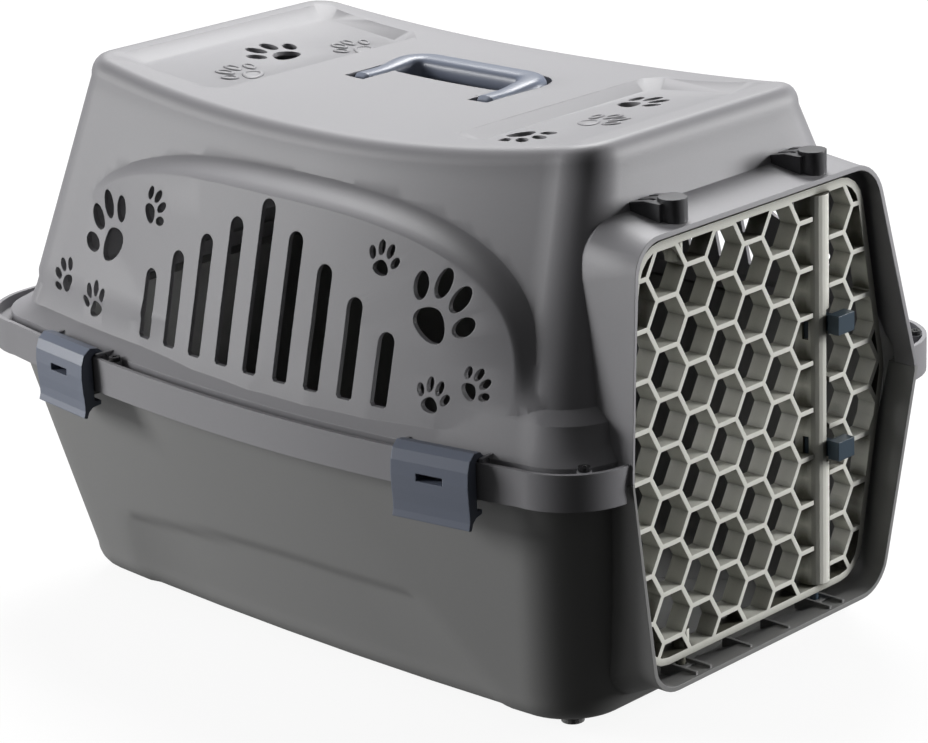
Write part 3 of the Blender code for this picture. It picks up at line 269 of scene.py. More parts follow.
def prism(name, outline, low, high, axis="Y"):
    """An outline pushed along an axis; the outline is (x, z), (y, z) or (x, y)."""
    rings = []
    for along in (low, high):
        place = {"Y": lambda a, b: (a, along, b), "X": lambda a, b: (along, a, b),
                 "Z": lambda a, b: (a, b, along)}[axis]
        rings.append([place(a, b) for a, b in outline])
    return loft(name, rings)


def half_width(y, shape):
    middle, front, rear, y_front, y_rear = shape[:5]
    if y > BOW_CENTRE:
        return middle - (middle - rear) * ((y - BOW_CENTRE) / (y_rear - BOW_CENTRE)) ** 2
    return middle - (middle - front) * ((y - BOW_CENTRE) / (y_front - BOW_CENTRE)) ** 2


def plan(shape, inset=0.0, corner=CORNER_SEG, side=SIDE_SEG, edge=EDGE_SEG, stations=None):
    """A bowed, rounded rectangle in plan, from the middle of the front round to the start.

    Along each side its points are evenly spaced, or stand at the given stations.
    """
    y_front, y_rear, r_front, r_rear = shape[3:]
    y0, y1 = y_front + inset, y_rear - inset
    r0, r1 = max(r_front - inset, 2.0), max(r_rear - inset, 2.0)
    wide = lambda y: half_width(y, shape) - inset
    half = []
    w0, w1 = wide(y0 + r0), wide(y1 - r1)
    half += [((w0 - r0) * i / edge, y0) for i in range(edge)]
    for i in range(corner):
        turn = math.pi / 2 * i / corner
        half.append((w0 - r0 + r0 * math.sin(turn), y0 + r0 - r0 * math.cos(turn)))
    stations = stations or [y0 + r0 + (y1 - r1 - y0 - r0) * i / side for i in range(1, side)]
    half += [(wide(y), y) for y in (y0 + r0, *stations)]
    for i in range(corner):
        turn = math.pi / 2 * i / corner
        half.append((w1 - r1 + r1 * math.cos(turn), y1 - r1 + r1 * math.sin(turn)))
    half += [((w1 - r1) * (1 - i / edge), y1) for i in range(edge + 1)]
    return half + [(-x, y) for x, y in reversed(half[1:-1])]


def between(low, high, share):
    return tuple(a + (b - a) * share for a, b in zip(low, high))


def smooth(value):
    value = min(1.0, max(0.0, value))
    return value * value * (3 - 2 * value)


def saddle(y, z):
    """How far the roof line sags at y, fading out down the wall."""
    sag = SADDLE_DIP * (1 - min(1.0, abs(y - SADDLE_CENTRE) / SADDLE_HALF) ** SADDLE_POWER)
    return -sag * smooth((z - SADDLE_START) / SADDLE_SPAN)


def panel_x(y, z):
    return PANEL_X - PANEL_LEAN * (z - PANEL_Z) - PANEL_BOW * (y - BOW_CENTRE) ** 2


def wall_shape(z):
    return between(WALL_LOW, WALL_HIGH, (z - WALL_Z[0]) / (WALL_Z[-1] - WALL_Z[0]))


def wall_x(y, z):
    """Half width of the upper wall at a point, its rounded corners included."""
    shape = wall_shape(z - saddle(y, z))
    y_front, y_rear, r_front, r_rear = shape[3:]
    for end, radius, toward in ((y_front, r_front, 1), (y_rear, r_rear, -1)):
        start = end + toward * radius
        past = (start - y) * toward
        if past > 0:
            return half_width(start, shape) - radius + math.sqrt(max(0.0, radius**2 - past**2))
    return half_width(y, shape)


def arch_edge(share, shrink, flare):
    """A point of the side panel's outline, from the rear foot over the top to the front foot."""
    turn = math.pi * share - ARCH_CROWD / 2 * math.sin(math.tau * share)
    c, s = math.cos(turn), abs(math.sin(turn))
    bend = 2 / ARCH_POWER
    z = ARCH_BASE + (ARCH_TOP - ARCH_BASE - shrink) * s**bend
    reach = (ARCH_REAR if c > 0 else ARCH_FRONT) - shrink
    reach += flare * math.exp(-(z - ARCH_BASE) / ARCH_FOOT_Z)
    return ARCH_CENTRE + math.copysign(reach * abs(c) ** bend, c), z


def side_panel(side, inset):
    """The arched panel standing proud of one side, or with an inset, the hollow behind it."""
    base = ARCH_BASE - ARCH_SINK - inset
    levels = [(share, 0.0) for share in (*ARCH_ROWS, 1.0)] + [(1.0, fall) for fall in ARCH_SLOPE]
    verts = [(side * (panel_x(ARCH_CENTRE, base) - inset), ARCH_CENTRE, base)]
    rows = []
    for share, fall in levels:
        rows.append(range(len(verts), len(verts) + ARCH_COLUMNS + 1))
        for j in range(ARCH_COLUMNS + 1):
            y, z = arch_edge(j / ARCH_COLUMNS, ARCH_STEP * (1 - fall) + inset, ARCH_FOOT * fall)
            y, z = ARCH_CENTRE + (y - ARCH_CENTRE) * share, ARCH_BASE + (z - ARCH_BASE) * share
            if j in (0, ARCH_COLUMNS):
                z = base
            foot = wall_x(y, z + inset) - ARCH_UNDER
            out = panel_x(y, z) + (foot - panel_x(y, z)) * smooth(fall)
            verts.append((side * (out - inset), y, z))
    faces = [(0, rows[0][j], rows[0][j + 1]) for j in range(ARCH_COLUMNS)]
    for low, high in zip(rows, rows[1:]):
        faces += [(low[j], high[j], high[j + 1], low[j + 1]) for j in range(ARCH_COLUMNS)]
    edge = [*rows[-1], *(row[-1] for row in rows[-2::-1]), 0, *(row[0] for row in rows[:-1])]
    back = range(len(verts), len(verts) + len(edge))
    verts += [(side * ARCH_BACK, *verts[index][1:]) for index in edge]
    faces += [(edge[i - 1], edge[i], back[i], back[i - 1]) for i in range(len(edge))]
    return make_object("panel", verts, [*faces, tuple(back)])


def upper_solid(name, inset, bottom):
    """The outside of the upper shell, or with an inset, the space inside it."""
    rings = [[(x, y, bottom) for x, y in plan(SKIRT_LOW, inset)]]
    for z, shape in zip(SKIRT_Z, (SKIRT_LOW, SKIRT_MID, SKIRT_HIGH)):
        z -= inset if shape is SKIRT_HIGH else 0.0
        rings.append([(x, y, z) for x, y in plan(shape, inset)])
    levels = [(z, inset) for z in WALL_Z]
    for turn in ROUND_TURNS:
        lift, back = math.sin(math.radians(turn)), 1 - math.cos(math.radians(turn))
        levels.append((WALL_Z[-1] + (WALL_TOP_Z - WALL_Z[-1]) * lift, inset + TOP_ROUND * back))
    for z, shrink in levels:
        shape = wall_shape(min(z, WALL_Z[-1]))
        z -= inset
        rings.append([(x, y, z + saddle(y, z)) for x, y in plan(shape, shrink)])
    flat = rings[-1]
    centre = sum(y for _, y, _ in flat) / len(flat)
    for scale in PLATEAU_SCALES:
        ring = []
        for x, y, _ in flat:
            y = centre + (y - centre) * scale
            ring.append((x * scale, y, WALL_TOP_Z - inset + saddle(y, WALL_TOP_Z)))
        rings.append(ring)
    tip = (0.0, centre, WALL_TOP_Z - inset + saddle(centre, WALL_TOP_Z))
    body = loft(name, rings, tips=(None, tip))
    return combine(body, [side_panel(side, inset) for side in (-1, 1)], "UNION")


def tub_recess(x, y, z):
    """How far the side of the tub is set in at this point."""
    front = RECESS_FRONT + RECESS_LEAN * (z - TUB_FLOOR)
    top = RECESS_TOP - 12.0 * smooth(y / RECESS_REAR)
    cover = min(smooth((y - front) / RECESS_STEP), smooth((RECESS_REAR - y) / RECESS_STEP),
                smooth((top - z) / RECESS_STEP), smooth((abs(x) - 90.0) / 20.0))
    return RECESS_DEEP * cover


def tub_ring(z, shape, inset):
    front = RECESS_FRONT + RECESS_LEAN * (z - TUB_FLOOR)
    stations = [front - 14.0, front, front + RECESS_STEP]
    stations += [stations[-1] + (RECESS_REAR - RECESS_STEP - stations[-1]) * i / 5 for i in range(1, 6)]
    stations += [RECESS_REAR, RECESS_REAR + 14.0]
    ring = []
    for x, y in plan(shape, inset, stations=stations):
        ring.append((x - math.copysign(tub_recess(x, y, z), x), y, z))
    return ring


def tub_solid(name, inset, top):
    """The outside of the tub, or with an inset, the space inside it."""
    rings = [tub_ring(top, TUB_TOP, inset)]
    for z in TUB_Z[1:]:
        share = (TUB_Z[0] - z) / (TUB_Z[0] - TUB_Z[-1])
        rings.append(tub_ring(z, between(TUB_TOP, TUB_BOTTOM, share), inset))
    floor = TUB_FLOOR + inset
    for turn in ROUND_TURNS:
        down, back = math.sin(math.radians(turn)), 1 - math.cos(math.radians(turn))
        z = TUB_Z[-1] - (TUB_Z[-1] - floor) * down
        rings.append(tub_ring(z, TUB_BOTTOM, inset + TUB_EDGE * back))
    flat = rings[-1]
    centre = sum(y for _, y, _ in flat) / len(flat)
    for scale in TUB_RINGS:
        rings.append([(x * scale, centre + (y - centre) * scale, floor) for x, y, _ in flat])
    return loft(name, rings, tips=(None, (0.0, centre, floor)))


def rounded(corners, radius, steps=8):
    """A closed outline with each corner replaced by an arc, all of one radius or each of its own."""
    radii = radius if isinstance(radius, tuple) else (radius,) * len(corners)
    outline = []
    for i, ((x, z), radius) in enumerate(zip(corners, radii)):
        before, after = corners[i - 1], corners[(i + 1) % len(corners)]
        a = (before[0] - x, before[1] - z)
        b = (after[0] - x, after[1] - z)
        la, lb = math.hypot(*a), math.hypot(*b)
        a, b = (a[0] / la, a[1] / la), (b[0] / lb, b[1] / lb)
        angle = math.acos(max(-1.0, min(1.0, a[0] * b[0] + a[1] * b[1])))
        reach = min(radius / math.tan(angle / 2), la / 2.01, lb / 2.01)
        size = reach * math.tan(angle / 2)
        mid = math.hypot(a[0] + b[0], a[1] + b[1])
        away = size / math.sin(angle / 2)
        centre = (x + (a[0] + b[0]) / mid * away, z + (a[1] + b[1]) / mid * away)
        start = (x + a[0] * reach - centre[0], z + a[1] * reach - centre[1])
        end = (x + b[0] * reach - centre[0], z + b[1] * reach - centre[1])
        sweep = math.atan2(start[0] * end[1] - start[1] * end[0],
                           start[0] * end[0] + start[1] * end[1])
        for k in range(steps + 1):
            c, s = math.cos(sweep * k / steps), math.sin(sweep * k / steps)
            outline.append((centre[0] + start[0] * c - start[1] * s,
                            centre[1] + start[0] * s + start[1] * c))
    return outline


def hexagon(levels, grow=0.0):
    """The six corners of the collar outline, offset outward by grow."""
    (xt, zt), (xs, zs), (xb, zb) = levels
    corners = [(xt, zt), (xs, zs), (xb, zb)]
    corners = corners + [(-x, z) for x, z in reversed(corners)]
    moved = []
    for i, (x, z) in enumerate(corners):
        before, after = corners[i - 1], corners[(i + 1) % 6]
        normals = []
        for (px, pz), (qx, qz) in ((before, (x, z)), ((x, z), after)):
            length = math.hypot(qx - px, qz - pz)
            normals.append(((pz - qz) / length, (qx - px) / length))
        (ax, az), (bx, bz) = normals
        scale = grow / (1 + ax * bx + az * bz)
        moved.append((x + (ax + bx) * scale, z + (az + bz) * scale))
    return moved


def split_sides(outline, pieces=4):
    """Adds points along long sides so that the V of the lip has points to bend at."""
    dense = []
    for i, (x, z) in enumerate(outline):
        nx, nz = outline[(i + 1) % len(outline)]
        parts = pieces if math.hypot(nx - x, nz - z) > 40 else 1
        dense += [(x + (nx - x) * k / parts, z + (nz - z) * k / parts) for k in range(parts)]
    return dense


def lip_y(z):
    """The lip stands furthest forward at the seam between the halves."""
    top, bottom = COLLAR_LIP[0][1], COLLAR_LIP[2][1]
    if z > SEAM_Z:
        return LIP_SEAM_Y + (LIP_TOP_Y - LIP_SEAM_Y) * (z - SEAM_Z) / (top - SEAM_Z)
    return LIP_SEAM_Y + (LIP_BOTTOM_Y - LIP_SEAM_Y) * (SEAM_Z - z) / (SEAM_Z - bottom)


def collar_solid(name, grow, front=0.0):
    """The collar round the door, or with a negative grow and a front, the opening through it."""
    lip = split_sides(rounded(hexagon(COLLAR_LIP, grow), COLLAR_ROUND + grow))
    root = split_sides(rounded(hexagon(COLLAR_ROOT, grow), COLLAR_ROUND + 3 + grow))
    end = split_sides(rounded(hexagon(COLLAR_END, grow), COLLAR_ROUND + grow))
    rings = [[(x, lip_y(z) - front, z) for x, z in lip]]
    for x_z, y in ((lip, LIP_TOP_Y + 4.0), (root, COLLAR_Y), (end, COLLAR_END_Y)):
        rings.append([(x, y, z) for x, z in x_z])
    return loft(name, rings)


def paw_outlines(y, z, size, turn, toe_sides=18):
    """Pad and four toes as outlines round (y, z), toes upward before turning."""
    blobs = [(0.0, -7.0, 9.5, 7.5, 0.0), (-15.0, 3.0, 4.2, 6.6, 28.0), (-5.8, 11.5, 4.2, 7.6, 8.0),
             (5.8, 11.5, 4.2, 7.6, -8.0), (15.0, 3.0, 4.2, 6.6, -28.0)]
    c, s = math.cos(math.radians(turn)), math.sin(math.radians(turn))
    outlines = []
    for bx, bz, rx, rz, tilt in blobs:
        tc, ts = math.cos(math.radians(tilt)), math.sin(math.radians(tilt))
        outline = []
        sides = toe_sides + 3 * (rx > 8)
        for i in range(sides):
            t = math.tau * i / sides
            px, pz = rx * math.cos(t), rz * math.sin(t)
            if rx > 8:
                px *= 1 - 0.28 * math.sin(t)
            px, pz = px * tc - pz * ts + bx, px * ts + pz * tc + bz
            outline.append((y + size * (px * c - pz * s), z + size * (px * s + pz * c)))
        outlines.append(outline)
    return outlines


def slot_outline(y, low, high, wide, steps=12):
    half = wide / 2
    outline = [(y - half, low + 1.5), (y - half + 1.5, low), (y + half - 1.5, low),
               (y + half, low + 1.5)]
    for i in range(steps + 1):
        turn = math.pi * i / steps
        outline.append((y + half * math.cos(turn), high - half + half * math.sin(turn)))
    return outline


def pocket(name, low, high, top, floor, radius, taper=4.0):
    """A rounded rectangular pocket cutter, narrowing to its floor."""
    rings = []
    for z, inset in ((floor, taper), (top, 0.0)):
        corners = [(low[0] + inset, low[1] + inset), (high[0] - inset, low[1] + inset),
                   (high[0] - inset, high[1] - inset), (low[0] + inset, high[1] - inset)]
        rings.append([(x, y, z) for x, y in rounded(corners, radius)])
    return loft(name, rings)


def tray(name, half, y0, y1, grow):
    """A tray cutter with sloping sides, whose flat floor keeps its depth below the sagging roof."""
    low, high = (WALL_TOP_Z + saddle(y, WALL_TOP_Z) - TRAY_DEEP - grow for y in (y0, y1))
    rings = []
    for inset, lift in ((TRAY_SLOPE, 0.0), (0.0, TRAY_DEEP), (0.0, 40.0)):
        inset -= grow
        corners = [(-half + inset, y0 + inset), (half - inset, y0 + inset),
                   (half - inset, y1 - inset), (-half + inset, y1 - inset)]
        rings.append([(x, y, low + (high - low) * (y - y0) / (y1 - y0) + lift)
                      for x, y in rounded(corners, TRAY_ROUND - inset / 2)])
    return loft(name, rings)


def handle_well(name, grow):
    """The well the handle folds into, with a groove at each end for the arms."""
    x, z = HANDLE_PIVOT
    top = 330.0
    body = pocket(name, (WELL_X[0] - grow, HANDLE_Y - WELL_HALF - grow),
                  (WELL_X[1] + grow, HANDLE_Y + WELL_HALF + grow),
                  top, z + 2 - WELL_DEEP - grow, WELL_ROUND + grow, 2.0)
    for side in (-1, 1):
        middle = HANDLE_Y + side * (HANDLE_HALF - ARM_W / 2)
        half = ARM_W / 2 + 1.2 + grow
        body = combine(body, [box("groove", (x - 9.0 - grow, middle - half, z + 2 - GROOVE_DEEP - grow),
                                  (WELL_X[0] + WELL_ROUND, middle + half, top))], "UNION")
    return body


def lug(name, x):
    """The ribbed socket on top of the collar that takes a pin."""
    outline = [(DOOR_Y, 262.0), (DOOR_Y, LUG_TOP), (-206.0, LUG_TOP), (LUG_REAR, LUG_TOP - 2.5),
               (LUG_REAR, 262.0)]
    body = prism(name, outline, x - LUG_HALF, x + LUG_HALF, "X")
    gaps = [box("rib gap", (x + at - 1.3, DOOR_Y + LUG_ROUND, LUG_TOP - 4.5), (x + at + 1.3, -190.0, 290.0))
            for at in (-4.2, 4.2)]
    body = combine(body, gaps, "DIFFERENCE")
    return combine(body, [rod("socket", (x, DOOR_Y), LUG_ROUND, 262.0, LUG_TOP + 2.0, sides=16)], "UNION")


def rim_frame():
    """The rim band with the gutter behind it, as one ring."""
    def level(inset, low, high):
        return loft("rim", [[(x, y, z) for x, y in plan(RIM, inset)] for z in (low, high)])

    body = level(0.0, RIM_LOW, RIM_HIGH)
    return combine(body, [level(RIM_WALL, GUTTER_HIGH, RIM_HIGH + 5),
                          level(RIM_WALL, RIM_LOW - 5, GUTTER_LOW), lip_clearance()], "DIFFERENCE")


def half_space(name, low, high):
    return box(name, (-400.0, -400.0, low), (400.0, 400.0, high))


def clip_frame(side, end):
    """Places (outward, along, height) at a clip, square to the bowed rim."""
    y = CLIP_Y[end]
    x = half_width(y, RIM)
    slope = (half_width(y + 1.0, RIM) - half_width(y - 1.0, RIM)) / 2.0
    turn = math.atan(-slope)
    out, along = (math.cos(turn), math.sin(turn)), (-math.sin(turn), math.cos(turn))

    def place(u, v, z):
        return (side * (x + out[0] * u + along[0] * v), y + out[1] * u + along[1] * v, z)

    return place


def clip_prism(name, outline, v0, v1, place):
    return loft(name, [[place(u, v, z) for u, z in outline] for v in (v0, v1)])


def clip_block(name, u, v, z, place):
    outline = [(u[0], z[0]), (u[1], z[0]), (u[1], z[1]), (u[0], z[1])]
    return clip_prism(name, outline, v[0], v[1], place)


def clip_pin_solid(name, radius, half, place, sides=10):
    u, z = CLIP_AXIS
    ring = [(u + radius * math.cos(math.tau * i / sides), z + radius * math.sin(math.tau * i / sides))
            for i in range(sides)]
    return clip_prism(name, ring, -half, half, place)


def each_clip():
    for side, word in ((-1, "left"), (1, "right")):
        for end in CLIP_Y:
            yield f"{word}_{end}", clip_frame(side, end)


def build_upper():
    shell = upper_solid("upper_shell", 0.0, GUTTER_LOW)
    shell = combine(shell, [rim_frame()], "UNION")
    collar = combine(collar_solid("collar", 0.0),
                     [half_space("below", -50.0, SEAM_Z + SEAM_GAP / 2)], "DIFFERENCE")
    ears = []
    for _, place in each_clip():
        for v in ((-EAR_OUT, -EAR_IN), (EAR_IN, EAR_OUT)):
            ears.append(clip_block("ear", (-12.0, -1.2), v, (GUTTER_LOW + 0.5, 161.0), place))
    bosses = [rod("boss", (side * x, y), SCREW_BOSS_R, GUTTER_LOW + 0.5, SCREW_SEAT, sides=12)
              for side in (-1, 1) for x, y in SCREW_AT]
    shell = combine(shell, [collar, *ears, *bosses], "UNION")
    trays = [tray("tray", *place, 0.0) for place in (TRAY_REAR, TRAY_FRONT)]
    shell = combine(shell, [*trays, handle_well("well", 0.0)], "DIFFERENCE")
    space = upper_solid("space", SHELL, RIM_LOW - 20.0)
    pads = [tray("pad", *place, SHELL) for place in (TRAY_REAR, TRAY_FRONT)]
    space = combine(space, [*pads, handle_well("pad", SHELL)], "DIFFERENCE")
    shell = combine(shell, [space, collar_solid("opening", -LIP_WALL, 30.0)], "DIFFERENCE")
    cutters = []
    for side in (-1, 1):
        for k, top in enumerate(SLOT_TOPS):
            y = SLOT_CENTRE + SLOT_PITCH * (4 - k)
            cutters.append(prism("slot", slot_outline(y, SLOT_LOW, top, SLOT_WIDE),
                                 side * 95.0, side * 190.0, "X"))
        for paw in SIDE_PAWS:
            cutters += [prism("paw", outline, side * 85.0, side * 190.0, "X")
                        for outline in paw_outlines(*paw)]
        cutters += screw_holes(side, GUTTER_LOW - 5.0, SCREW_SEAT + 1.0)
    for _, place in each_clip():
        cutters.append(clip_pin_solid("pin hole", CLIP_PIN_R + 0.3, EAR_OUT + 1.0, place))
    for x, y, size, turn in ROOF_PAWS:
        cutters += [prism("paw", outline, 280.0, 320.0, "Z")
                    for outline in paw_outlines(x, y, size, turn)]
    for x in (HINGE_X, LATCH_X):
        cutters.append(rod("pin hole", (x, DOOR_Y), PIN_HOLE_R, 240.0, 275.5))
    x, z = HANDLE_PIVOT
    for side in (-1, 1):
        y = HANDLE_Y + side * (HANDLE_HALF - ARM_W / 2)
        cutters.append(rod("pivot hole", (x, z), HANDLE_PIN_R + 0.35, y - 9.6, y + 9.6, "Y", 12))
    return combine(shell, [join(cutters)], "DIFFERENCE")


def screw_holes(side, low, high):
    return [rod("screw hole", (side * x, y), SCREW_R + 0.4, low, high, sides=10) for x, y in SCREW_AT]


def build_tub():
    tub = tub_solid("lower_tub", 0.0, FLANGE_HIGH)
    flange = loft("flange", [[(x, y, z) for x, y in plan(RIM, RIM_WALL + 0.6)]
                             for z in (FLANGE_LOW, FLANGE_HIGH)])
    collar = combine(collar_solid("collar", 0.0),
                     [half_space("above", SEAM_Z - SEAM_GAP / 2, 400.0)], "DIFFERENCE")
    catches = []
    for _, place in each_clip():
        catches.append(clip_block("catch", (-16.0, -0.6), (-15.0, 15.0), (CATCH_LOW, CATCH_HIGH), place))
    tub = combine(tub, [flange, collar, *catches], "UNION")
    clear = loft("rim space", [[(x, y, z) for x, y in plan(RIM, -0.4)]
                               for z in (RIM_LOW - 0.4, FLANGE_HIGH + 5)])
    core = loft("rim core", [[(x, y, z) for x, y in plan(RIM, RIM_WALL + 0.4)]
                             for z in (RIM_LOW - 5, FLANGE_HIGH + 8)])
    clear = combine(clear, [core, lip_clearance(0.4)], "DIFFERENCE")
    reach = COLLAR_LIP[1][0] + 1.5
    above = box("above seam", (-reach, -260.0, SEAM_Z - SEAM_GAP / 2), (reach, COLLAR_Y, FLANGE_HIGH + 5))
    tub = combine(tub, [clear, above], "DIFFERENCE")
    space = tub_solid("space", SHELL, FLANGE_HIGH + 10.0)
    tub = combine(tub, [space, collar_solid("opening", -LIP_WALL, 30.0)], "DIFFERENCE")
    floor = COLLAR_LIP[2][1] - 3.0
    ribs = []
    for x in (HINGE_X, LATCH_X):
        ribs += [box("rib", (x + at - RIB_HALF, -232.0, floor), (x + at + RIB_HALF, -208.0, 28.8))
                 for at in (-RIB_X, RIB_X)]
        ribs.append(box("socket", (x - RIB_X, -222.0, floor), (x + RIB_X, -208.0, 27.6)))
    ribs += [box("rib", (x - RIB_HALF, -231.0, floor), (x + RIB_HALF, -212.0, 28.2)) for x in (-16.0, 16.0)]
    ribs = [combine(rib, [collar_floor()], "INTERSECT") for rib in ribs]
    tub = combine(tub, ribs, "UNION")
    cutters = [rod("pin hole", (x, DOOR_Y), PIN_HOLE_R, 10.0, 45.0) for x in (HINGE_X, LATCH_X)]
    for side in (-1, 1):
        cutters += screw_holes(side, FLANGE_LOW - 5.0, FLANGE_HIGH + 5.0)
        cutters += [rod("foot hole", (side * x, y), FOOT_STEM_R + 0.3, -2.0, 12.0, sides=12)
                    for x, y in FOOT_AT]
    return combine(tub, [join(cutters)], "DIFFERENCE")


def collar_floor():
    """The collar's outside, which the ribs are kept within."""
    return collar_solid("collar", -0.5)


def lip_clearance(spare=0.0):
    """The space of the lip, where the rim band gives way to the collar."""
    reach = COLLAR_LIP[1][0] + 1.5 - spare
    return box("lip space", (-reach, -260.0, 120.0), (reach, -200.0, SEAM_Z + SEAM_GAP / 2 + 0.01))


def sweep(name, points, sections):
    """A closed solid whose cross-sections stand along points; each section is a list of offsets."""
    rings = []
    for i, (x, y, z) in enumerate(points):
        ax, ay, _ = points[max(i - 1, 0)]
        bx, by, _ = points[min(i + 1, len(points) - 1)]
        length = math.hypot(bx - ax, by - ay) or 1.0
        across = ((by - ay) / length, -(bx - ax) / length)
        rings.append([(x + across[0] * u, y + across[1] * u, z + w) for u, w in sections[i]])
    return loft(name, rings)


def handle_section(wide, thick, sides=28, power=2.8):
    """A rounded oblong; a greater power makes it squarer."""
    ring = []
    for i in range(sides):
        turn = math.tau * i / sides
        c, s = math.cos(turn), math.sin(turn)
        bend = 2 / power
        ring.append((math.copysign(abs(c) ** bend, c) * wide / 2,
                     math.copysign(abs(s) ** bend, s) * thick / 2))
    return ring


def build_handle():
    """The folding handle: two flat arms and a fuller grip, on one rounded path."""
    x, _ = HANDLE_PIVOT
    arm_y = HANDLE_HALF - ARM_W / 2
    grip_x = x + HANDLE_REACH - GRIP_W / 2
    corner = GRIP_ROUND - GRIP_W / 2 + 1.0
    path = [(x - HANDLE_TAIL + 0.6, -arm_y), (x - 2.0, -arm_y)]
    path += [(x + (grip_x - corner - x) * i / 8, -arm_y) for i in range(1, 8)]
    for i in range(11):
        turn = math.pi / 2 * i / 10
        path.append((grip_x - corner + corner * math.sin(turn), -arm_y + corner - corner * math.cos(turn)))
    path += [(grip_x, -(arm_y - corner) * (1 - i / 6)) for i in range(1, 7)]
    path += [(px, -py) for px, py in reversed(path[:-1])]
    points, sections = [], []
    for px, py in path:
        full = smooth((px - x - 10.0) / (grip_x - x - 14.0))
        wide = ARM_W + (GRIP_W - ARM_W) * full
        thick = (ARM_HIGH - ARM_LOW) + (GRIP_HIGH - GRIP_LOW - ARM_HIGH + ARM_LOW) * full
        middle = (ARM_LOW + ARM_HIGH) / 2 + ((GRIP_LOW + GRIP_HIGH) / 2 - (ARM_LOW + ARM_HIGH) / 2) * full
        tip = smooth((px - x + HANDLE_TAIL) / 3.0) if px < x else 1.0
        points.append((px, HANDLE_Y + py, middle))
        sections.append(handle_section(wide * (0.7 + 0.3 * tip) - 0.3, thick * (0.55 + 0.45 * tip) - 0.2))
    body = sweep("handle", points, sections)
    holes = [rod("pivot hole", HANDLE_PIVOT, HANDLE_PIN_R + 0.35, HANDLE_Y + side * arm_y - 12.0,
                 HANDLE_Y + side * arm_y + 12.0, "Y", 20) for side in (-1, 1)]
    return combine(body, [join(holes)], "DIFFERENCE")


def plastic(name, colour, roughness=0.5, grain=1400.0, bump=0.25, mottle=0.06, edge=0.6, gloss=0.5):
    """Moulded plastic: a fine eroded texture, faint mottling and softened edges."""
    made = bpy.data.materials.new(name)
    made.use_nodes = True
    nodes, links = made.node_tree.nodes, made.node_tree.links
    shader = nodes["Principled BSDF"]
    shader.inputs["Roughness"].default_value = roughness
    shader.inputs["Specular IOR Level"].default_value = gloss
    place = nodes.new("ShaderNodeTexCoord")

    def noise(scale, detail, rough=0.5):
        found = nodes.new("ShaderNodeTexNoise")
        found.inputs["Scale"].default_value = scale
        found.inputs["Detail"].default_value = detail
        found.inputs["Roughness"].default_value = rough
        links.new(place.outputs["Object"], found.inputs["Vector"])
        return found

    broad = noise(9.0, 3.0)
    fine = noise(grain * 0.5, 2.0, 0.6)
    tint = nodes.new("ShaderNodeMix")
    tint.data_type = "RGBA"
    tint.inputs["A"].default_value = (*[c * (1 - mottle) for c in colour], 1.0)
    tint.inputs["B"].default_value = (*[c * (1 + mottle) for c in colour], 1.0)
    both = nodes.new("ShaderNodeMath")
    both.operation = "MULTIPLY_ADD"
    both.inputs[1].default_value = 0.5
    half = nodes.new("ShaderNodeMath")
    half.operation = "MULTIPLY"
    half.inputs[1].default_value = 0.5
    links.new(fine.outputs["Fac"], half.inputs[0])
    links.new(broad.outputs["Fac"], both.inputs[0])
    links.new(half.outputs[0], both.inputs[2])
    links.new(both.outputs[0], tint.inputs["Factor"])
    links.new(tint.outputs["Result"], shader.inputs["Base Color"])
    soft = nodes.new("ShaderNodeBevel")
    soft.samples = 4
    soft.inputs["Radius"].default_value = edge * MM
    pits = nodes.new("ShaderNodeBump")
    pits.inputs["Strength"].default_value = bump
    pits.inputs["Distance"].default_value = 0.0002
    skin = noise(grain, 3.0, 0.65)
    links.new(skin.outputs["Fac"], pits.inputs["Height"])
    links.new(soft.outputs["Normal"], pits.inputs["Normal"])
    links.new(pits.outputs["Normal"], shader.inputs["Normal"])
    return made


def paint_recess_shade(made, shade, reach, fade):
    """Paints shade into the colour of enclosed faces, darker by how open they are to their surroundings."""
    nodes, links = made.node_tree.nodes, made.node_tree.links
    shader = nodes["Principled BSDF"]
    old = shader.inputs["Base Color"].links[0].from_socket
    near = nodes.new("ShaderNodeAmbientOcclusion")
    near.samples = 8
    near.inputs["Distance"].default_value = reach * MM
    curve = nodes.new("ShaderNodeMapRange")
    curve.interpolation_type = "SMOOTHSTEP"
    curve.inputs["From Min"].default_value, curve.inputs["From Max"].default_value = fade
    blend = nodes.new("ShaderNodeMix")
    blend.data_type = "RGBA"
    blend.inputs["A"].default_value = (*shade, 1.0)
    links.new(near.outputs["AO"], curve.inputs["Value"])
    links.new(curve.outputs["Result"], blend.inputs["Factor"])
    links.new(old, blend.inputs["B"])
    links.new(blend.outputs["Result"], shader.inputs["Base Color"])


def steel(name, colour, roughness):
    """Drawn steel: the plastic surface made metallic, with a fine grain."""
    made = plastic(name, colour, roughness, 900.0, 0.1, 0.12, 0.25)
    made.node_tree.nodes["Principled BSDF"].inputs["Metallic"].default_value = 1.0
    return made


def coat(obj, surface):
    """One material, and smooth shading that keeps the sharp edges."""
    obj.data.materials.clear()
    obj.data.materials.append(surface)
    obj.data.shade_smooth()
    obj.data.set_sharp_from_angle(angle=math.radians(SHARP_ANGLE))


def show(obj, name, surface, body, slot, *nodes):
    """Places a finer piece on its body and lets it stand for its CAD nodes."""
    obj.name = obj.data.name = name
    coat(obj, surface)
    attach(obj, body)
    if nodes:
        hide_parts(*nodes)
    return obj


def build_socket(x):
    """The dark ribbed socket over a vertical pin, let into the collar."""
    body = combine(lug("socket", x), [collar_solid("opening", -1.2, 30.0)], "DIFFERENCE")
    return combine(body, [rod("pin hole", (x, DOOR_Y), PIN_HOLE_R, 240.0, 275.5, sides=32)], "DIFFERENCE")


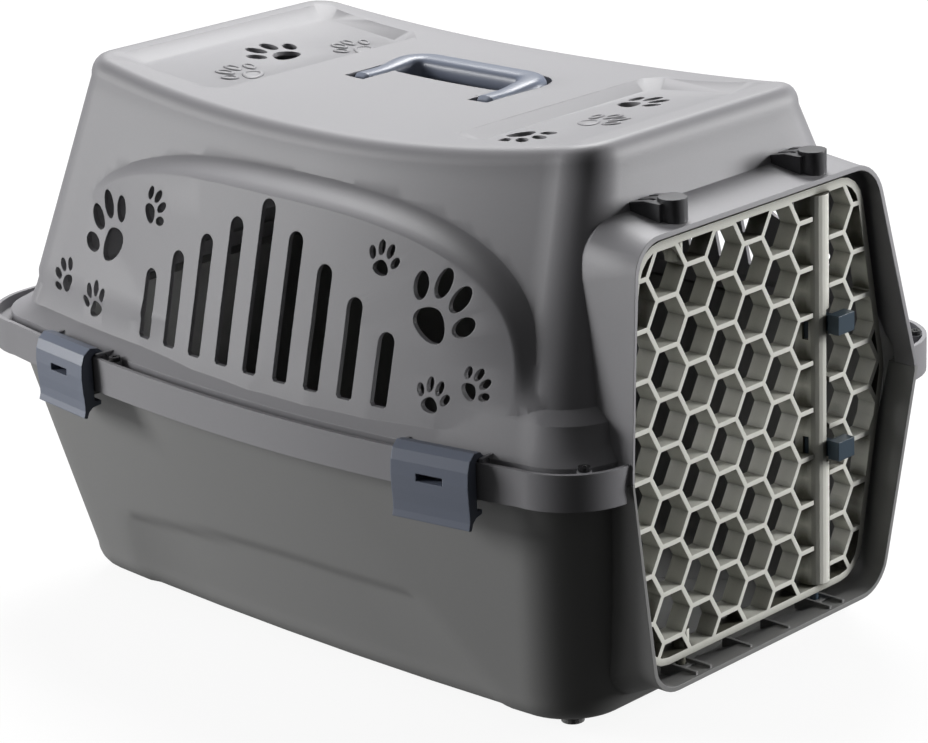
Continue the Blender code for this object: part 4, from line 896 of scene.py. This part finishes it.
def paw_relief(paws):
    """Low raised paws on the tray floors, each toe a flat-topped mound."""
    verts, faces = [], []
    for x, y, size, turn in paws:
        _, y0, y1 = TRAY_REAR if y > 0 else TRAY_FRONT
        low, high = (WALL_TOP_Z + saddle(end, WALL_TOP_Z) - TRAY_DEEP for end in (y0, y1))
        for outline in paw_outlines(x, y, size, turn):
            cx, cy = (sum(c) / len(outline) for c in zip(*outline))
            first = len(verts)
            for scale, lift in RELIEF_ROWS:
                for px, py in outline:
                    px, py = cx + (px - cx) * scale, cy + (py - cy) * scale
                    verts.append((px, py, low + (high - low) * (py - y0) / (y1 - y0) + lift))
            n = len(outline)
            last = first + (len(RELIEF_ROWS) - 1) * n
            for start in range(first, last, n):
                faces += [(start + i, start + (i + 1) % n, start + n + (i + 1) % n, start + n + i)
                          for i in range(n)]
            faces += [tuple(range(first, first + n)), tuple(range(last, last + n))]
    return make_object("relief", verts, faces)


def squashing_spring(word, surface):
    """A copy of a latch spring, with a mesh of its own, shown in place of its CAD node."""
    node = f"latch_spring_{word}"
    obj = bpy.data.objects.new(f"spring_{word}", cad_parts[node].data.copy())
    bpy.context.scene.collection.objects.link(obj)
    show(obj, f"spring_{word}", surface, "door", "steel", node)
    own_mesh(obj)


def area_light(name, at, aim, size, power, colour=(1.0, 1.0, 1.0)):
    data = bpy.data.lights.new(name, "AREA")
    data.shape = "RECTANGLE"
    data.size, data.size_y = size
    data.energy = power
    data.color = colour
    obj = bpy.data.objects.new(name, data)
    bpy.context.scene.collection.objects.link(obj)
    obj.location = at
    obj.rotation_mode = "QUATERNION"
    obj.rotation_quaternion = (Vector(aim) - Vector(at)).to_track_quat("-Z", "Y")
    return obj


def flat_material(name, colour, glow):
    made = bpy.data.materials.new(name)
    made.use_nodes = True
    shader = made.node_tree.nodes["Principled BSDF"]
    shader.inputs["Base Color"].default_value = (*colour, 1.0)
    shader.inputs["Roughness"].default_value = 0.9
    shader.inputs["Specular IOR Level"].default_value = 0.1
    shader.inputs["Emission Color"].default_value = (1.0, 1.0, 1.0, 1.0)
    shader.inputs["Emission Strength"].default_value = glow
    return made


def build_studio(floor_z):
    """Pale floor, a white dome that only the camera sees, and soft lights."""
    bpy.ops.mesh.primitive_circle_add(vertices=96, radius=FLOOR_R, fill_type="NGON", location=(0, 0, floor_z))
    floor = bpy.context.object
    floor.name = "floor"
    floor.data.materials.append(flat_material("floor white", FLOOR_COLOUR, FLOOR_GLOW))
    bpy.ops.mesh.primitive_uv_sphere_add(segments=48, ring_count=24, radius=FLOOR_R * 1.02,
                                         location=(0, 0, floor_z))
    dome = bpy.context.object
    dome.name = "dome"
    dome.data.materials.append(flat_material("dome white", (0.0, 0.0, 0.0), DOME_GLOW))
    for obj in (floor, dome):
        obj.visible_diffuse = False
        obj.visible_shadow = False
        obj.visible_glossy = False
    world = bpy.data.worlds.new("studio")
    bpy.context.scene.world = world
    world.use_nodes = True
    nodes, links = world.node_tree.nodes, world.node_tree.links
    back = nodes["Background"]
    place = nodes.new("ShaderNodeTexCoord")
    toward = nodes.new("ShaderNodeVectorMath")
    toward.operation = "DOT_PRODUCT"
    toward.inputs[1].default_value = SKY_TOWARD
    links.new(place.outputs["Generated"], toward.inputs[0])
    spread = nodes.new("ShaderNodeMapRange")
    spread.inputs["From Min"].default_value = -1.0
    spread.inputs["From Max"].default_value = 1.0
    spread.inputs["To Min"].default_value, spread.inputs["To Max"].default_value = SKY_RANGE
    links.new(toward.outputs["Value"], spread.inputs["Value"])
    links.new(spread.outputs["Result"], back.inputs["Strength"])
    back.inputs["Color"].default_value = (1.0, 1.0, 1.0, 1.0)
    for spec in LIGHTS:
        area_light(*spec)


def build_camera():
    """The camera of the reference view, from its distance, aim and turn."""
    azimuth, elevation, roll = (math.radians(a) for a in CAMERA_TURN)
    back = Vector((math.sin(azimuth) * math.cos(elevation), -math.cos(azimuth) * math.cos(elevation),
                   math.sin(elevation)))
    right = Vector((math.cos(azimuth), math.sin(azimuth), 0.0))
    up = back.cross(right)
    turned = math.cos(roll) * right + math.sin(roll) * up
    upward = back.cross(turned)
    data = bpy.data.cameras.new("camera")
    data.lens, data.sensor_width = CAMERA_LENS, 36.0
    data.clip_start, data.clip_end = 0.05, 40.0
    obj = bpy.data.objects.new("camera", data)
    bpy.context.scene.collection.objects.link(obj)
    place = Matrix((turned, upward, back)).transposed().to_4x4()
    place.translation = Vector(CAMERA_AIM) + back * CAMERA_FAR
    obj.matrix_world = place
    bpy.context.scene.camera = obj


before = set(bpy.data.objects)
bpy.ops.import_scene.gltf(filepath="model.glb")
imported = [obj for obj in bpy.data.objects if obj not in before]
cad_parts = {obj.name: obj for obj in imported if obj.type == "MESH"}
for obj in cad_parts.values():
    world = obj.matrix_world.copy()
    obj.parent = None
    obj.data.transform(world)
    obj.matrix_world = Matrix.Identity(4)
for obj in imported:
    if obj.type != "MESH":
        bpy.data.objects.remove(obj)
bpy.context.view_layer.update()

upper = plastic("upper plastic", (0.235, 0.232, 0.245), 0.52)
lower = plastic("tub plastic", (0.215, 0.215, 0.213), 0.52)
blue = plastic("blue grey plastic", (0.14, 0.16, 0.21), 0.38, 1100.0, 0.15, 0.04, 0.8)
ivory = plastic("door plastic", (0.72, 0.72, 0.66), 0.4, 1100.0, 0.12, 0.03, 0.5)
navy = plastic("button plastic", (0.035, 0.058, 0.082), 0.35, 1100.0, 0.12, 0.04, 0.5)
# The door plastic gets painted shade, darker inside its enclosed cells.
paint_recess_shade(ivory, CELL_PAINTED_SHADE, CELL_REACH, CELL_FADE)
wire = steel("spring steel", (0.5, 0.5, 0.52), 0.3)
dark = plastic("socket plastic", (0.07, 0.07, 0.075), 0.35, 1100.0, 0.2, 0.04, 0.8)
black = plastic("black screw", (0.015, 0.015, 0.016), 0.3, 900.0, 0.1, 0.03, 0.25)

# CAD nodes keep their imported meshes.
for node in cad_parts:
    if node.startswith(("clip_pin", "handle_pin")):
        coat(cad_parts[node], wire)
    elif node.startswith("clip"):
        coat(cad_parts[node], blue)
    elif node.startswith("screw"):
        coat(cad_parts[node], black)
    elif node.startswith("foot"):
        coat(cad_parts[node], lower)
    elif node.startswith("door") or node == "latch_channel":
        coat(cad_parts[node], ivory)
    elif node.startswith(("latch_button", "latch_rod")):
        coat(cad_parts[node], navy)
show(build_upper(), "shell_upper", upper, "carrier", "upper_plastic", "upper_shell")
show(build_tub(), "shell_lower", lower, "carrier", "tub_plastic", "lower_tub")
show(build_handle(), "handle", blue, "handle", "blue_grey_plastic", "carry_handle")
for word, x in (("hinge", HINGE_X), ("latch", LATCH_X)):
    show(build_socket(x), f"socket_{word}", dark, "carrier", "button_plastic")
show(paw_relief(RELIEF_PAWS), "roof_paw_relief", upper, "carrier", "upper_plastic")
for word in ("upper", "lower"):
    squashing_spring(word, wire)
build_studio(0.0)
build_camera()
bpy.context.scene.view_settings.view_transform = "Standard"
